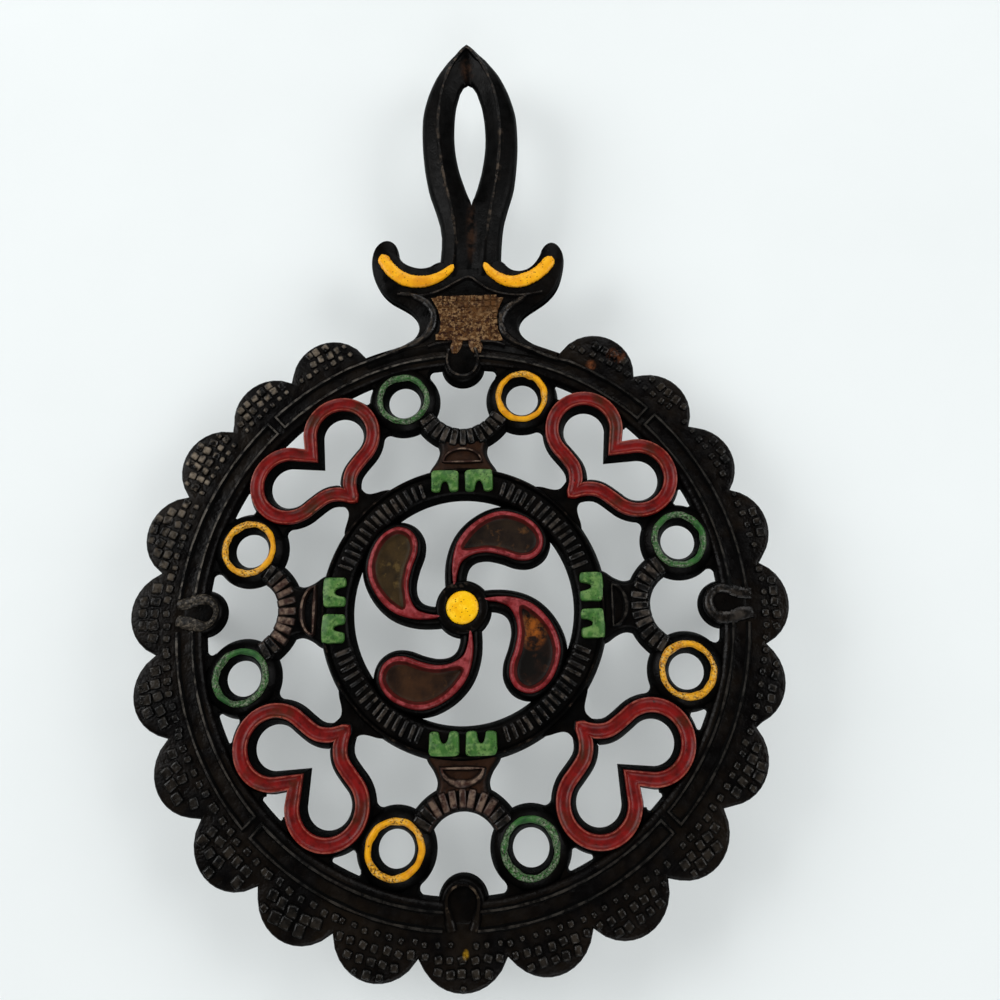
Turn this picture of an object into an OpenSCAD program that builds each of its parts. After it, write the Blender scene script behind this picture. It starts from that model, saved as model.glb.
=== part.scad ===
// Openwork trivet in sand-cast iron: a scalloped rim, four hearts, eight eyelets,
// a wheel with four comma petals, and a flat handle with a hanging loop.
// It lies on four short feet. X is across, Y runs to the handle's tip, Z is up.
// The origin is on the surface that the feet stand on, below the wheel's centre.

/* [Levels] */
// Clear height below the casting
foot_h = 14.8; // [6:0.2:24]
// Thickness of the plain casting
web_t = 3.4; // [2.4:0.1:6]
// Height of the raised lines above the plain casting
relief_h = 0.8; // [0.4:0.1:1.6]
// Thickness of a coat of enamel
paint_t = 0.2; // [0.1:0.05:0.3]

/* [Rim] */
// Radius over the scallops
disc_r = 72.4; // [71.6:0.1:78]
// How far the scallops stand out beyond the plain rim
scallop_out = 9.2; // [8:0.1:9.4]
// Width of the plain rim
rim_w = 6.3; // [5.6:0.1:7.4]
// How much farther out the scallops stand on the right than on a true circle, as cast
rim_set_x = -1.4; // [-1.6:0.1:1]
// How much farther out they stand towards the handle, as cast
rim_set_y = -1.6; // [-1.8:0.1:1]
// Radius of one scallop
scallop_r = 9.4; // [8.6:0.1:10]
// Angle from one scallop to the next
scallop_pitch = 15; // [15:15:15]
// Width of a bead line
bead_w = 0.9; // [0.5:0.1:1.4]
// Distance from the rim's inner edge to the inner bead line
bead_inset_in = 2.1; // [1.6:0.1:2.6]
// Distance from the plain rim's outer edge to the outer bead line
bead_inset_out = 0.8; // [0.6:0.1:1.6]
// Gap between the bead lines' closed ends on a diagonal
bead_gap = 1.4; // [0.8:0.1:2.4]

/* [Eyelets] */
// Distance from the wheel ring to the circle on which the eyelets lie
eyelet_set_out = 18.8; // [18.4:0.1:19.4]
// How far an eyelet runs into the rim
eyelet_lap = 1.3; // [0.8:0.1:2]
// Angle of an eyelet from the nearest axis
eyelet_angle = 16.1; // [15.6:0.1:16.6]
// Outer radius of an eyelet
eyelet_r = 8.2; // [7.8:0.1:8.6]
// Radius of the eyelet's raised, painted lip
lip_r = 6.2; // [5.8:0.1:6.6]
// Radius of the hole inside the lip
lip_hole_r = 4.8; // [4.4:0.1:5.2]
// Radius of the hole at the underside
eyelet_hole_r = 3.9; // [3.2:0.1:4.2]

/* [Wheel] */
// Outer radius of the wheel ring
wheel_r = 31.2; // [30.6:0.1:31.8]
// Width of the wheel ring
wheel_w = 6.3; // [5.8:0.1:7]
// Width of the wheel ring's outer lip
wheel_lip_w = 1; // [0.6:0.1:1.4]
// Distance from the wheel ring's bore to its ribs
rib_inset = 1.7; // [1.3:0.1:2.1]
// Length of a rib on the wheel ring
rib_len = 2.3; // [1.8:0.1:2.6]
// Width of a rib
rib_w = 0.8; // [0.5:0.05:1]
// Ribs in each quarter of the wheel ring
rib_count = 15; // [9:2:15]
// Radius of the boss at the centre
boss_r = 5.6; // [5.2:0.1:6.2]
// Radius of the painted button on the boss
button_r = 3.7; // [3:0.1:4.4]
// Height of the button's dome
button_h = 0.9; // [0.6:0.1:1]
// Width of a petal's shoulder outside its painted rim
petal_shoulder = 1.1; // [0.8:0.1:1.4]
// Depth of a petal's dish below the plain casting
petal_dish_d = 0.6; // [0.3:0.1:1.2]
// Width of one green block
block_w = 6.5; // [5.4:0.1:6.8]
// Gap between the two green blocks of a pair
block_gap = 1.7; // [1.2:0.1:2.2]
// Length of a green block towards the centre
block_len = 4.4; // [3.8:0.1:4.6]
// Radius of the notch in a green block
notch_r = 0.95; // [0.6:0.05:1.1]

/* [Hearts] */
// How much nearer the centre a heart's lobes lie than the eyelets
heart_set_in = 2; // [1.6:0.1:2.4]
// Sideways distance of a lobe from the heart's middle
heart_lobe_v = 8.25; // [8:0.05:8.5]
// Radius of the painted channel along a lobe
heart_lobe_r = 7.3; // [7:0.05:7.6]
// Distance from the wheel ring to the heart's point
heart_point_gap = 4.8; // [4.4:0.1:5.4]
// How much farther out than the lobes' middles the notch between them lies
heart_notch_out = 1; // [0.6:0.1:1.4]
// Width of the painted channel with its two lines
channel_w = 2.9; // [2.4:0.1:3.2]
// Width of one of its raised lines
channel_line_w = 0.6; // [0.4:0.05:0.8]
// Width of the heart's shoulder beyond its painted channel
heart_shoulder = 0.9; // [0.7:0.1:1.2]

/* [Arches] */
// How much nearer the centre an arch's own centre lies than the eyelets
arch_set_in = 1.5; // [1:0.1:2]
// Inner radius of an arch
arch_inner_r = 7.7; // [7.3:0.1:8.1]
// Outer radius of an arch
arch_outer_r = 12.6; // [12.2:0.1:12.9]
// Length of a rib on an arch
arch_rib_len = 2.6; // [2:0.1:3]
// Ribs on an arch
arch_rib_count = 9; // [5:2:9]
// Angle from one arch rib to the next
arch_rib_pitch = 13; // [11:0.5:13]
// Half the width of a keystone where it meets the wheel ring
keystone_root_w = 6.6; // [6:0.1:7]
// Half the width of a keystone where it meets the arch
keystone_top_w = 4.9; // [4.4:0.1:5.4]
// Half the length of the ring line on a keystone
keystone_eye_w = 4.5; // [4:0.1:4.8]
// Width of the ring line on a keystone
keystone_eye_h = 3; // [2.6:0.1:3.2]

/* [Lugs and feet] */
// Distance from the rim's inner edge in to the round end of the right and rear lugs
lug_set_in = 0.3; // [0:0.1:0.7]
// How much farther out the left and front lugs lie, as cast
lug_drift = 1.1; // [0:0.1:1.4]
// Radius of a lug's round end
lug_r = 4.5; // [4.2:0.1:4.8]
// Distance from the plain rim's outer edge in to a lug's outer end
lug_end_in = 0.2; // [0:0.1:1.2]
// Radius of the horseshoe line on a lug
horseshoe_r = 3.5; // [3.1:0.1:3.7]
// Radius of the dimple in a lug
dimple_r = 2.2; // [1.6:0.1:2.6]
// Depth of the dimple
dimple_d = 0.9; // [0.4:0.1:1.4]
// Distance from the plain rim's outer edge in to a foot's middle
foot_set_in = 1.7; // [1.4:0.1:3]
// Radius of a foot where it joins the casting
foot_top_r = 4.2; // [3.6:0.1:4.6]
// Radius of a foot's sole
foot_sole_r = 3.2; // [2.6:0.1:3.6]

/* [Handle] */
// Sideways set of the handle from the wheel's centre line, as cast
handle_x = 2; // [0:0.1:2.4]
// How far the handle's tip leans back towards the centre line, as cast
handle_lean = 0.9; // [-1:0.1:1.5]
// Length of the handle from the plain rim to its tip
handle_len = 84; // [76:0.2:96]
// Width of the handle's loop
handle_w = 24; // [22:0.2:27]
// Width over the two scrolls of the collar
collar_w = 46.8; // [44:0.2:48]
// Length of the neck and the collar from the plain rim to the top of the scrolls
collar_len = 25; // [24:0.1:26]
// Width of the loop's hanging hole
hang_hole_w = 8; // [6:0.2:9]
// Width of a ridge line on the handle
ridge_w = 1.5; // [1:0.1:1.9]
// Length of the waffled panel on the neck
panel_len = 9.8; // [9:0.1:11]
// Width of the waffled panel on the neck
panel_w = 15.6; // [13:0.1:16]
// Width of the painted crescent on a scroll
crescent_w = 2.6; // [1.6:0.1:2.8]

/* [Hidden] */
// How far a cut runs past the face that it leaves
overrun = 1;
// How far a raised line reaches down into the casting that carries it
root_d = 0.5;
// Height of the plain casting's face and of the raised lines
web_z = foot_h + web_t;
top_z = web_z + relief_h;
// Depth of the grooves that hold the paint
groove_d = relief_h / 2;
// The radii that follow from the sizes above, in the pattern's own measure
eyelet_circle_r = wheel_r + eyelet_set_out;
rim_inner_r = eyelet_circle_r + eyelet_r - eyelet_lap;
rim_r = rim_inner_r + rim_w;
pattern_r = rim_r + scallop_out;
bead_inner_r = rim_inner_r + bead_inset_in;
bead_outer_r = rim_r - bead_inset_out;
wheel_bore_r = wheel_r - wheel_w;
rib_inner_r = wheel_bore_r + rib_inset;
heart_lobe_u = eyelet_circle_r - heart_set_in;
heart_point_u = wheel_r + heart_point_gap;
heart_notch_u = heart_lobe_u + heart_notch_out;
arch_u = eyelet_circle_r - arch_set_in;
lug_u = rim_inner_r - lug_set_in;
lug_outer_u = rim_r - lug_end_in;
foot_u = rim_r - foot_set_in;
// How much the disc's pattern is stretched to reach the radius over the scallops
disc_scale = disc_r / pattern_r;
// Distances from the centre along the handle
plain_r = rim_r * disc_scale;
handle_tip_y = plain_r + handle_len;
collar_top_y = plain_r + collar_len;
// Directions of the axes and of the hearts
quarter = 90;
axes = [for (i = [0:3]) i * quarter];
diagonals = [for (i = [0:3]) (i + 0.5) * quarter];
// How much farther out each lug lies, in the order of the axes
lug_drifts = [0, 0, lug_drift, lug_drift];
// The centre of the rim's beads and edges, and its share of the scallops' set
rim_set_share = 0.35;
rim_centre = [rim_set_x, rim_set_y, 0] * rim_set_share;
// First and last scallop
first_scallop = 120;
last_scallop = 420;
curve_steps = 3;
$fn = 96;
// Shares of the way from the plain rim to the collar's top where the neck and the collar end
neck_end_share = 0.45;
collar_end_share = 0.86;
// Shares of the way from the scrolls' top to the tip: where the hanging hole starts, and its length
hole_start_share = 0.171;
hole_len_share = 0.598;
// Share of the way from the wheel ring to an arch where the keystone's line starts
eye_start_share = 0.35;
// Share of a green block's length that its notch takes
notch_share = 0.33;

iron = "#1c1917";
worn_iron = "#5f4c33";
red = "#8b1f1c";
rose = "#b64850";
yellow = "#f5ae12";
green = "#5fae5a";
grey_green = "#5f8f5a";

// Shares of the wheel's bore: the painted rim of the petal that leaves the hub upwards
petal_shares = [
    [-0.09, 0.16], [-0.096, 0.38], [-0.04, 0.575], [0.07, 0.715], [0.22, 0.81], [0.37, 0.843],
    [0.53, 0.803], [0.65, 0.723], [0.718, 0.6], [0.69, 0.48], [0.6, 0.415], [0.49, 0.413],
    [0.36, 0.458], [0.22, 0.487], [0.095, 0.47], [0.008, 0.405], [-0.035, 0.3], [-0.045, 0.16]
];
// Shares of the same bore: the dish inside that rim
dish_shares = [
    [0.01, 0.53], [0.11, 0.665], [0.24, 0.755], [0.38, 0.785], [0.52, 0.75],
    [0.62, 0.68], [0.667, 0.59], [0.645, 0.51], [0.58, 0.47], [0.49, 0.472],
    [0.36, 0.517], [0.22, 0.54], [0.1, 0.525]
];
// Shares of half the loop's width, and of the way from the collar's top to the tip
loop_shares = [
    [0.617, 0], [0.646, 0.085], [0.75, 0.17], [0.875, 0.255], [0.96, 0.38], [1, 0.51],
    [0.98, 0.635], [0.854, 0.745], [0.667, 0.838], [0.417, 0.914], [0.167, 0.98]
];
// Shares of the same measures: the ridge line on the loop, and on the stem below it
ridge_shares = [
    [0.33, -0.2], [0.34, 0], [0.38, 0.09], [0.46, 0.21], [0.58, 0.34], [0.66, 0.51],
    [0.64, 0.635], [0.54, 0.76], [0.35, 0.87], [0.15, 0.945]
];
// Shares of half the collar's width, and of the way from the plain rim to the collar's top
collar_shares = [
    [1.1, -0.3], [0.8, -0.06], [0.61, 0.03], [0.51, 0.14], [0.53, 0.245], [0.64, 0.345],
    [0.8, 0.43], [0.913, 0.54], [0.985, 0.68], [0.995, 0.82], [0.955, 0.945], [0.885, 1],
    [0.81, 0.975], [0.76, 0.89], [0.69, 0.77], [0.58, 0.71], [0.45, 0.73], [0.35, 0.83]
];
// Shares of the same measures: the painted crescent's middle line
crescent_shares = [
    [0.92, 0.89], [0.85, 0.74], [0.745, 0.64], [0.61, 0.58],
    [0.46, 0.582], [0.33, 0.635], [0.21, 0.715], [0.15, 0.8]
];
// Shares of the way from a heart's point to its lobe, and of the lobe's sideways distance
flank_shares = [[0.86, 0.5], [0.5, 0.2]];
// Shares of half the hanging hole's width and of its length
hole_shares = [
    [0, 0], [0.3, 0.1], [0.72, 0.27], [0.98, 0.46], [1, 0.63], [0.85, 0.8], [0.48, 0.94], [0, 1]
];
// Shares of the same measures: the raised line down each side of the neck
neck_line_shares = [
    [0.62, 0.44], [0.44, 0.38], [0.345, 0.27], [0.36, 0.13], [0.5, 0.0], [0.75, -0.08]
];
// Shares of half the panel's width and of its length
panel_shares = [[0.93, 0], [0.88, 0.25], [0.86, 0.5], [0.92, 0.75], [1, 1]];

function polar(r, a) = [r * cos(a), r * sin(a)];
function arc(c, r, from, to, n) = [for (i = [0:n]) c + polar(r, from + (to - from) * i / n)];
function mix(a, b, t) = a + (b - a) * t;
function scaled(p, s) = [for (q = p) [q[0] * s[0], q[1] * s[1]]];
function moved(p, d) = [for (q = p) q + d];
function flipped(p) = [for (i = [len(p) - 1:-1:0]) [-p[i][0], p[i][1]]];
// Points about the handle's own middle line, set in place and leaning with it
function leaning(p) = [for (q = p) q + [handle_x - handle_lean * (q[1] - plain_r) / handle_len, 0]];
function blend(a, b, c, d, t) =
    (2 * b + (c - a) * t + (2 * a - 5 * b + 4 * c - d) * t * t
    + (3 * b - 3 * c + d - a) * t * t * t) / 2;

// A smooth closed curve through points
function loop_through(p, n) =
    let (k = len(p))
    [for (i = [0:k - 1], j = [0:n - 1])
        blend(p[(i + k - 1) % k], p[i], p[(i + 1) % k], p[(i + 2) % k], j / n)];

// A smooth open curve through points
function line_through(p, n) =
    let (k = len(p) - 1)
    concat(
        [for (i = [0:k - 1], j = [0:n - 1])
            blend(p[max(i - 1, 0)], p[i], p[i + 1], p[min(i + 2, k)], j / n)],
        [p[k]]);

function unit(v) = v / norm(v);
// A line moved sideways, and a band of a width along it
function side_of(p, d) =
    let (k = len(p) - 1)
    [for (i = [0:k])
        let (t = unit(p[min(i + 1, k)] - p[max(i - 1, 0)])) p[i] + d * [t[1], -t[0]]];
function reversed(p) = [for (i = [len(p) - 1:-1:0]) p[i]];
function band(p, w) = concat(side_of(p, w / 2), reversed(side_of(p, -w / 2)));

// The foot of a scallop's own middle
function scallop_at(a) =
    let (r = pattern_r - scallop_r + rim_set_x * cos(a) + rim_set_y * sin(a))
    [r * cos(a), r * sin(a), foot_h];

// The heart's middle line, with its point towards the centre of the wheel
heart_cleft_a = -45;
heart_half = concat(
    [[heart_notch_u, 0]],
    arc([heart_lobe_u, heart_lobe_v], heart_lobe_r, heart_cleft_a, 180, 16));
heart_flank = line_through(concat(
    [[heart_lobe_u - heart_lobe_r, heart_lobe_v]],
    moved(scaled(flank_shares, [heart_lobe_u - heart_lobe_r - heart_point_u, heart_lobe_v]),
        [heart_point_u, 0]),
    [[heart_point_u, 0]]), curve_steps);
heart_side = concat(heart_half, [for (i = [1:len(heart_flank) - 1]) heart_flank[i]]);
heart_line = concat(
    heart_side,
    [for (i = [len(heart_side) - 2:-1:1]) [heart_side[i][0], -heart_side[i][1]]]);

petal_line = loop_through(petal_shares * wheel_bore_r, curve_steps);
dish_line = loop_through(dish_shares * wheel_bore_r, curve_steps);

collar_half = line_through(
    moved(scaled(collar_shares, [collar_w / 2, collar_len]), [0, plain_r]), curve_steps);
loop_half = line_through(
    moved(scaled(loop_shares, [handle_w / 2, handle_tip_y - collar_top_y]), [0, collar_top_y]),
    curve_steps);
handle_tip = [0, handle_tip_y];
handle_side = concat(collar_half, loop_half);
handle_line = leaning(concat(handle_side, [handle_tip], flipped(handle_side)));
hang_hole_y = mix(collar_top_y, handle_tip_y, hole_start_share);
hang_hole_len = (handle_tip_y - collar_top_y) * hole_len_share;
hole_half = line_through(
    moved(scaled(hole_shares, [hang_hole_w / 2, hang_hole_len]), [0, hang_hole_y]), curve_steps);
hole_line = leaning(
    concat(hole_half, [for (i = [len(hole_half) - 2:-1:1]) [-hole_half[i][0], hole_half[i][1]]]));
ridge_half = line_through(
    moved(scaled(ridge_shares, [handle_w / 2, handle_tip_y - collar_top_y]), [0, collar_top_y]),
    curve_steps);
crescent_line = line_through(
    moved(scaled(crescent_shares, [collar_w / 2, collar_len]), [0, plain_r]), curve_steps);
neck_line = line_through(
    moved(scaled(neck_line_shares, [collar_w / 2, collar_len]), [0, plain_r]), curve_steps);

// Where the handle is parted into its members
neck_end_y = mix(plain_r, collar_top_y, neck_end_share);
collar_end_y = mix(plain_r, collar_top_y, collar_end_share);
stem_end_y = hang_hole_y - ridge_w;
panel_y = neck_end_y - panel_len;

// The disc's pattern, stretched to its radius over the scallops
module fitted() { scale([disc_scale, disc_scale, 1]) children(); }
module slab(z, h) { translate([0, 0, z]) linear_extrude(h) children(); }
module round_slab(r, z, h) { translate([0, 0, z]) cylinder(r = r, h = h); }
module ring_slab(r_out, r_in, z, h) {
    difference() {
        round_slab(r_out, z, h);
        round_slab(r_in, z - overrun, h + 2 * overrun);
    }
}

module eyelet_discs(z, h) {
    for (a = axes, s = [-1, 1])
        rotate(a + s * eyelet_angle) translate([eyelet_circle_r, 0, z]) cylinder(r = eyelet_r, h = h);
}
module heart_discs(z, h) {
    for (a = diagonals)
        rotate(a) slab(z, h) offset(delta = channel_w / 2 + heart_shoulder) polygon(heart_line);
}
module lug_disc(u, z, h) {
    translate([u, 0, z]) cylinder(r = lug_r, h = h);
    translate([u, -lug_r, z]) cube([lug_outer_u - u, 2 * lug_r, h]);
}
module lug_discs(z, h) {
    for (i = [0:3]) rotate(axes[i]) lug_disc(lug_u + lug_drifts[i], z, h);
}

// The cuts that leave room for the members that meet the rim
module rim_neighbours() {
    z = foot_h - overrun;
    h = web_t + relief_h + 2 * overrun;
    eyelet_discs(z, h);
    heart_discs(z, h);
    lug_discs(z, h);
}

// The two bead lines, closed at both sides of a gap on each diagonal
module beads() {
    z = web_z - root_d;
    h = relief_h + root_d;
    translate(rim_centre) difference() {
        union() {
            ring_slab(bead_outer_r + bead_w / 2, bead_outer_r - bead_w / 2, z, h);
            ring_slab(bead_inner_r + bead_w / 2, bead_inner_r - bead_w / 2, z, h);
            for (a = diagonals)
                rotate(a) translate([bead_inner_r, -bead_gap / 2 - bead_w, z])
                    cube([bead_outer_r - bead_inner_r, bead_gap + 2 * bead_w, h]);
        }
        for (a = diagonals)
            rotate(a) translate([rim_inner_r, -bead_gap / 2, web_z])
                cube([rim_r + bead_w - rim_inner_r, bead_gap, relief_h + overrun]);
    }
}

module scalloped_rim() color(iron) fitted() {
    difference() {
        union() {
            translate(rim_centre) round_slab(rim_r, foot_h, web_t);
            for (a = [first_scallop:scallop_pitch:last_scallop])
                translate(scallop_at(a)) cylinder(r = scallop_r, h = web_t);
            beads();
        }
        translate(rim_centre)
            round_slab(rim_inner_r, foot_h - overrun, web_t + relief_h + 2 * overrun);
        rim_neighbours();
    }
}

// Raised M with a round notch towards the centre
module green_block() {
    difference() {
        translate([rib_inner_r, -block_w / 2, web_z]) cube([block_len, block_w, relief_h]);
        translate([rib_inner_r, 0, web_z - overrun])
            cylinder(r = notch_r, h = relief_h + 2 * overrun);
        translate([rib_inner_r, -notch_r, web_z - overrun])
            cube([block_len * notch_share, 2 * notch_r, relief_h + 2 * overrun]);
    }
}
module green_blocks() color(green) fitted() {
    for (a = axes, s = [-1, 1])
        rotate(a) translate([0, s * (block_w + block_gap) / 2, 0]) green_block();
}

rib_edge_a = asin((block_w + block_gap) / rib_inner_r);
rib_pitch = (quarter - 2 * rib_edge_a) / rib_count;
module wheel_ring() color(iron) fitted() {
    ring_slab(wheel_r, wheel_bore_r, foot_h, web_t);
    ring_slab(wheel_r, wheel_r - wheel_lip_w, web_z - root_d, relief_h + root_d);
    for (a = axes, i = [0:rib_count - 1])
        rotate(a + rib_edge_a + rib_pitch * (i + 0.5))
            translate([rib_inner_r, -rib_w / 2, web_z - root_d])
                cube([rib_len, rib_w, relief_h + root_d]);
}

module hub_boss() color(iron) fitted() round_slab(boss_r, foot_h, web_t);

module hub_button() color(yellow) fitted() {
    dome_r = (button_r * button_r + button_h * button_h) / (2 * button_h);
    intersection() {
        translate([0, 0, web_z + button_h - dome_r]) sphere(r = dome_r);
        round_slab(button_r + overrun, web_z, button_h + overrun);
    }
}

// One petal, turned about the hub
module petal(turn) color(iron) fitted() {
    rotate(turn) difference() {
        intersection() {
            union() {
                slab(foot_h, web_t) offset(delta = petal_shoulder) polygon(petal_line);
                slab(web_z, relief_h) polygon(petal_line);
            }
            round_slab(wheel_bore_r, foot_h - overrun, web_t + relief_h + 2 * overrun);
        }
        slab(web_z - petal_dish_d, petal_dish_d + relief_h + overrun) polygon(dish_line);
        round_slab(boss_r, foot_h - overrun, web_t + relief_h + 2 * overrun);
    }
}
module petal_paint(turn) color(rose) fitted() {
    rotate(turn) difference() {
        slab(top_z, paint_t) offset(delta = -paint_t) polygon(petal_line);
        slab(top_z - overrun, paint_t + 2 * overrun) offset(delta = paint_t) polygon(dish_line);
        round_slab(boss_r + paint_t, top_z - overrun, paint_t + 2 * overrun);
    }
}

// One heart: walls, two raised lines and the channel between them
module heart(turn) color(iron) fitted() {
    half_w = channel_w / 2;
    difference() {
        rotate(turn) union() {
            difference() {
                slab(foot_h, web_t) offset(delta = half_w + heart_shoulder) polygon(heart_line);
                slab(foot_h - overrun, web_t + 2 * overrun)
                    offset(delta = -half_w - heart_shoulder) polygon(heart_line);
            }
            difference() {
                slab(web_z, relief_h) offset(delta = half_w) polygon(heart_line);
                slab(web_z - overrun, relief_h + 2 * overrun)
                    offset(delta = half_w - channel_line_w) polygon(heart_line);
            }
            difference() {
                slab(web_z, relief_h) offset(delta = channel_line_w - half_w) polygon(heart_line);
                slab(web_z - overrun, relief_h + 2 * overrun) offset(delta = -half_w) polygon(heart_line);
            }
        }
        eyelet_discs(foot_h - overrun, web_t + relief_h + 2 * overrun);
        round_slab(wheel_r, foot_h - overrun, web_t + relief_h + 2 * overrun);
    }
}
module heart_paint(turn) color(red) fitted() {
    film_w = channel_w / 2 - channel_line_w;
    difference() {
        rotate(turn) difference() {
            slab(web_z, groove_d) offset(delta = film_w) polygon(heart_line);
            slab(web_z - overrun, groove_d + 2 * overrun) offset(delta = -film_w) polygon(heart_line);
        }
        eyelet_discs(foot_h - overrun, web_t + relief_h + 2 * overrun);
        round_slab(wheel_r, foot_h - overrun, web_t + relief_h + 2 * overrun);
    }
}

// A drafted ring with a raised lip round its hole
module eyelet(a) color(iron) fitted() {
    rotate(a) translate([eyelet_circle_r, 0, 0]) rotate_extrude() polygon([
        [eyelet_hole_r, foot_h], [eyelet_r, foot_h], [eyelet_r, web_z], [lip_r, web_z],
        [lip_r, top_z], [lip_hole_r, top_z]
    ]);
}
module ring_paint(a) {
    rotate(a) translate([eyelet_circle_r, 0, 0])
        ring_slab(lip_r - paint_t, lip_hole_r + paint_t, top_z, paint_t);
}
module green_ring_paint() color(grey_green) fitted() {
    for (a = axes) ring_paint(a + eyelet_angle);
}
module yellow_ring_paint() color(yellow) fitted() {
    for (a = axes) ring_paint(a - eyelet_angle);
}

module keystone_block(z, h) {
    slab(z, h) polygon([
        [0, -keystone_root_w], [wheel_r, -keystone_root_w],
        [arch_u - arch_outer_r, -keystone_top_w], [arch_u, -keystone_top_w],
        [arch_u, keystone_top_w], [arch_u - arch_outer_r, keystone_top_w],
        [wheel_r, keystone_root_w], [0, keystone_root_w]
    ]);
}

// A ribbed bow from one eyelet to the next, round the space inside the lug
module arch(turn) color(iron) fitted() {
    difference() {
        rotate(turn) translate([arch_u, 0, 0]) union() {
            ring_slab(arch_outer_r, arch_inner_r, foot_h, web_t);
            for (i = [0:arch_rib_count - 1])
                rotate(180 + arch_rib_pitch * (i - (arch_rib_count - 1) / 2))
                    translate([arch_inner_r + rib_w, -rib_w / 2, web_z - root_d])
                        cube([arch_rib_len, rib_w, relief_h + root_d]);
        }
        rotate(turn) translate([arch_u, -2 * arch_outer_r, foot_h - overrun])
            cube([2 * arch_outer_r, 4 * arch_outer_r, web_t + relief_h + 2 * overrun]);
        eyelet_discs(foot_h - overrun, web_t + relief_h + 2 * overrun);
    }
}

// The block between the wheel ring and an arch, with a half-moon line on it
module keystone(turn) color(iron) fitted() {
    eye_u = mix(wheel_r, arch_u - arch_outer_r, eye_start_share);
    rotate(turn) {
        difference() {
            keystone_block(foot_h, web_t);
            round_slab(wheel_r, foot_h - overrun, web_t + 2 * overrun);
            translate([arch_u, 0, foot_h - overrun])
                cylinder(r = arch_outer_r, h = web_t + 2 * overrun);
        }
        difference() {
            intersection() {
                translate([eye_u, 0, web_z]) cylinder(r = keystone_eye_w, h = relief_h);
                translate([eye_u, -keystone_eye_w, web_z])
                    cube([keystone_eye_h, 2 * keystone_eye_w, relief_h]);
            }
            translate([eye_u + bead_w, 0, web_z - overrun]) intersection() {
                cylinder(r = keystone_eye_w - 2 * bead_w, h = relief_h + 2 * overrun);
                translate([0, -keystone_eye_w, 0])
                    cube([keystone_eye_h - 2 * bead_w, 2 * keystone_eye_w, relief_h + 2 * overrun]);
            }
            translate([arch_u, 0, web_z - overrun])
                cylinder(r = arch_outer_r, h = relief_h + 2 * overrun);
        }
    }
}

// A round-ended pad inside the rim, with a horseshoe line and a dimple
module lug(i) color(iron) fitted() {
    u = lug_u + lug_drifts[i];
    line_r = horseshoe_r - bead_w;
    rotate(axes[i]) {
        difference() {
            union() {
                lug_disc(u, foot_h, web_t);
                translate([u, 0, web_z - root_d]) cylinder(r = horseshoe_r, h = relief_h + root_d);
                translate([u, -horseshoe_r, web_z - root_d])
                    cube([lug_outer_u - u, 2 * horseshoe_r, relief_h + root_d]);
            }
            translate([u, 0, web_z]) cylinder(r = line_r, h = relief_h + overrun);
            translate([u, -line_r, web_z])
                cube([lug_outer_u - u + overrun, 2 * line_r, relief_h + overrun]);
            translate([u, 0, web_z - dimple_d]) cylinder(r = dimple_r, h = dimple_d + overrun);
        }
    }
}

module foot(turn) color(iron) fitted() {
    rotate(turn) translate([foot_u, 0, 0]) cylinder(r1 = foot_sole_r, r2 = foot_top_r, h = foot_h);
}

// The part of the handle's outline between two distances from the centre
module handle_part(from, to, z, h) {
    intersection() {
        slab(z, h) polygon(handle_line);
        translate([handle_x - collar_w, from, z - overrun])
            cube([2 * collar_w, to - from, h + 2 * overrun]);
    }
}
// A pair of raised or sunk lines, one each side of the handle
module pair_of_lines(line, w, z, h) {
    slab(z, h) polygon(leaning(band(line, w)));
    slab(z, h) polygon(leaning(flipped(band(line, w))));
}
module clip_to(from, to) {
    intersection() {
        children();
        translate([handle_x - collar_w, from, foot_h - overrun])
            cube([2 * collar_w, to - from, web_t + relief_h + 2 * overrun]);
    }
}

module panel_outline() {
    side = line_through(
        moved(scaled(panel_shares, [panel_w / 2, panel_len]), [0, panel_y]), curve_steps);
    polygon(leaning(concat(side, flipped(side))));
}

// The cuts that leave room for the rim, its first and last scallop and the lugs
module handle_neighbours(z, h) {
    translate(rim_centre) round_slab(rim_r, z, h);
    for (a = [first_scallop, last_scallop])
        translate([scallop_at(a)[0], scallop_at(a)[1], z]) cylinder(r = scallop_r, h = h);
    lug_discs(z, h);
}

module neck() color(iron) {
    difference() {
        union() {
            handle_part(0, neck_end_y, foot_h, web_t);
            clip_to(0, neck_end_y)
                pair_of_lines(neck_line, bead_w, web_z - root_d, relief_h + root_d);
        }
        fitted() handle_neighbours(foot_h - overrun, web_t + relief_h + 2 * overrun);
    }
}
module neck_panel() color(worn_iron) {
    difference() {
        slab(web_z, groove_d) panel_outline();
        fitted() handle_neighbours(web_z - overrun, groove_d + 2 * overrun);
    }
}
module collar() color(iron) {
    difference() {
        handle_part(neck_end_y, collar_end_y, foot_h, web_t + relief_h);
        pair_of_lines(crescent_line, crescent_w, top_z - groove_d, groove_d + overrun);
    }
    difference() {
        clip_to(collar_end_y, collar_top_y + overrun) scrolls();
        pair_of_lines(crescent_line, crescent_w, top_z - groove_d, groove_d + overrun);
    }
}
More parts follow.
